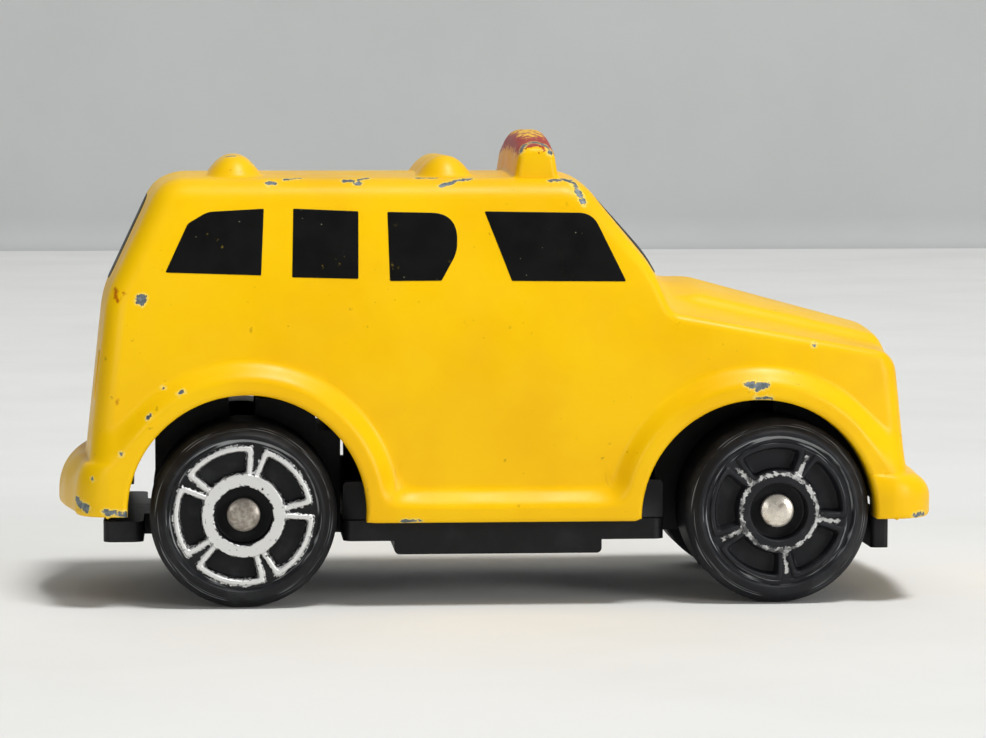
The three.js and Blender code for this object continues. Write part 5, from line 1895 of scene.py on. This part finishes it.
@dataclass
class Axle:
    """A wire axle: a turned shank with a domed head at each end."""

    end: str
    steel: bpy.types.Material
    shank: float = 0.6
    head: float = 0.98
    thickness: float = 0.55
    dome: float = 0.18

    def build(self) -> bpy.types.Object:
        """Turn the axle from one head to the other.

        Returns:
            The axle.
        """
        node = f"{self.end}_axle"
        centre = JOINTS[f"{node}_spin"]
        reach = np.array(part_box(node)[1])[1] / MM
        rim = reach - self.dome
        seat = rim - self.thickness
        half = [
            (0.0, reach), (self.head * 0.6, reach - 0.05, 0.3), (self.head, rim, 0.12),
            (self.head, seat, 0.06), (self.shank, seat, 0.05),
        ]
        corners = half + [(radius, -y, *rounding) for radius, y, *rounding in half[::-1]]
        outline = rounded_path(corners).at(np.linspace(0.0, 1.0, 260))
        rings = turned(outline, 64, centre * (ALONG + UP), ALONG, UP, ACROSS)
        return Piece(f"{node}_wire", node, "axle_steel", (node,)).build_rings(rings, self.steel)


@dataclass
class Studio:
    """The pale floor and backdrop, soft lamps and the camera at the photograph's angle.

    Each lamp has a name, a place, a width and its watts. The room's light rises with height and towards
    the front, between two pairs of levels that multiply.
    """

    floor: bpy.types.Material
    backdrop: bpy.types.Material
    reach: float = 900.0
    back_edge: float = 560.0
    cove: float = 8.0
    cove_round: float = 7.0
    lamp_aim: tuple[float, float, float] = (0.0, 0.0, 10.0)
    lamps: tuple[tuple[str, tuple[float, float, float], float, float], ...] = (
        ("key_lamp", (260.0, -260.0, 1150.0), 260.0, 9.6),
        ("fore_lamp", (560.0, -560.0, 170.0), 300.0, 2.4),
        ("rear_lamp", (-420.0, -660.0, 170.0), 300.0, 0.8),
    )
    room_colour: str = "#F4F6F8"
    room_span: float = 0.9
    room_upward: tuple[float, float] = (0.04, 0.36)
    room_forward: tuple[float, float] = (0.3, 1.3)
    camera_place: tuple[float, float, float] = (-16.955, -231.1, 29.1)
    camera_aim: tuple[float, float, float] = (-0.455, -11.1, 13.97)
    focal_pixels: float = 3795.0
    image_width: float = 986.0
    sensor: float = 36.0

    def build_sheet(self, name: str, corners: list[tuple[float, ...]], material: bpy.types.Material) -> None:
        """Carry a (y, z) line across the scene as a sheet.

        Args:
            name: The sheet's name.
            corners: Corners of the line, as rounded_path takes them.
            material: The finish.
        """
        line = rounded_path(corners, 24).points
        x = np.array([-self.reach, self.reach])
        along, across = np.meshgrid(np.arange(len(line)), x, indexing="ij")
        points = np.stack([across, line[along, 0], line[along, 1]], axis=-1).reshape(-1, 3) * MM
        mesh = bpy.data.meshes.new(name)
        mesh.from_pydata(points.tolist(), [], grid_faces(len(line), 2)[:, ::-1].tolist())
        mesh.shade_smooth()
        mesh.materials.append(material)
        sheet = bpy.data.objects.new(name, mesh)
        bpy.context.scene.collection.objects.link(sheet)

    def build_lamp(self, name: str, place: tuple[float, float, float], size: float, watts: float) -> None:
        """Hang a square soft lamp that faces the object.

        Args:
            name: The lamp's name.
            place: Where it hangs.
            size: Its width.
            watts: Its power.
        """
        lamp = bpy.data.lights.new(name, "AREA")
        lamp.size = size * MM
        lamp.energy = watts
        shown = bpy.data.objects.new(name, lamp)
        shown.location = Vector(place) * MM
        shown.rotation_euler = (Vector(self.lamp_aim) - Vector(place)).to_track_quat("-Z", "Y").to_euler()
        bpy.context.scene.collection.objects.link(shown)

    def build_room(self) -> None:
        """Light the room all round, by a product of two straight changes of the direction's parts."""
        world = bpy.data.worlds.new("soft_room")
        world.use_nodes = True
        sky = world.node_tree
        add = partial(add_node, sky)
        direction, span = add(Kind.DIRECTION), self.room_span
        upward = add(Kind.LINE, add(Kind.UPWARD, direction), 0.0, span, *self.room_upward)
        forward = add(Kind.LINE, add(Kind.FORWARD, direction), -span, span, *self.room_forward)
        background = sky.nodes["Background"]
        background.inputs["Color"].default_value = linear(self.room_colour)
        sky.links.new(add(Kind.MULTIPLY, upward, forward), background.inputs["Strength"])
        bpy.context.scene.world = world

    def build_camera(self) -> None:
        """Set up the camera: a long lens from the right, a little behind and above the middle."""
        camera = bpy.data.cameras.new("camera")
        camera.sensor_width = self.sensor
        camera.lens = self.focal_pixels / self.image_width * self.sensor
        camera.clip_start = 0.01
        shown = bpy.data.objects.new("camera", camera)
        place, aim = Vector(self.camera_place), Vector(self.camera_aim)
        shown.location = place * MM
        shown.rotation_euler = (aim - place).to_track_quat("-Z", "Y").to_euler()
        bpy.context.scene.collection.objects.link(shown)
        bpy.context.scene.camera = shown

    def build(self) -> None:
        """Build the stage, its light and the camera."""
        cove = (self.back_edge - self.cove, 0.0)
        self.build_sheet("floor", [(-self.reach, 0.0), cove], self.floor)
        wall = [cove, (self.back_edge, 0.0, self.cove_round), (self.back_edge, self.reach)]
        self.build_sheet("backdrop", wall, self.backdrop)
        self.build_room()
        for lamp in self.lamps:
            self.build_lamp(*lamp)
        bpy.context.scene.view_settings.view_transform = "Standard"
        self.build_camera()


def main() -> None:
    """Build every sub-assembly in order."""
    logging.basicConfig(level=logging.INFO, format="%(name)s %(message)s")
    casting = Casting()
    steel = WireSteel("cold_headed_steel_wire").material()
    # The front axle's wire is the same steel, smoother and painted lighter: its lighter colour is a painted
    # highlight
    lighter_steel_with_painted_highlight = WireSteel("polished_steel_wire", "#EEE7DA", "#D2CABD", roughness=0.3, pitting=0.004)
    BodyShell(casting, CastEnamel("yellow_enamel_on_zinc").material()).build()
    WindowPrints(casting, WindowPrint("black_pad_print").material()).build()
    Chassis(MouldedPlastic("black_polypropylene").material(), steel).build()
    bright = StampedWheel("foil_stamped_polystyrene", state=FoilState.BRIGHT).material()
    worn = StampedWheel("worn_foil_polystyrene", black="#17181C", state=FoilState.WORN).material()
    for side in Side:
        Wheel("rear", side, 5.0, FoilState.BRIGHT, bright).build()
        Wheel("front", side, -10.0, FoilState.WORN, worn).build()
    Axle("rear", steel).build()
    Axle("front", lighter_steel_with_painted_highlight.material()).build()
    Studio(MattBoard("matt_white_board").material(),
           MattBoard("matt_grey_board", pale="#CACCCB", shade="#C6C8C7").material()).build()


if __name__ == "__main__":
    main()
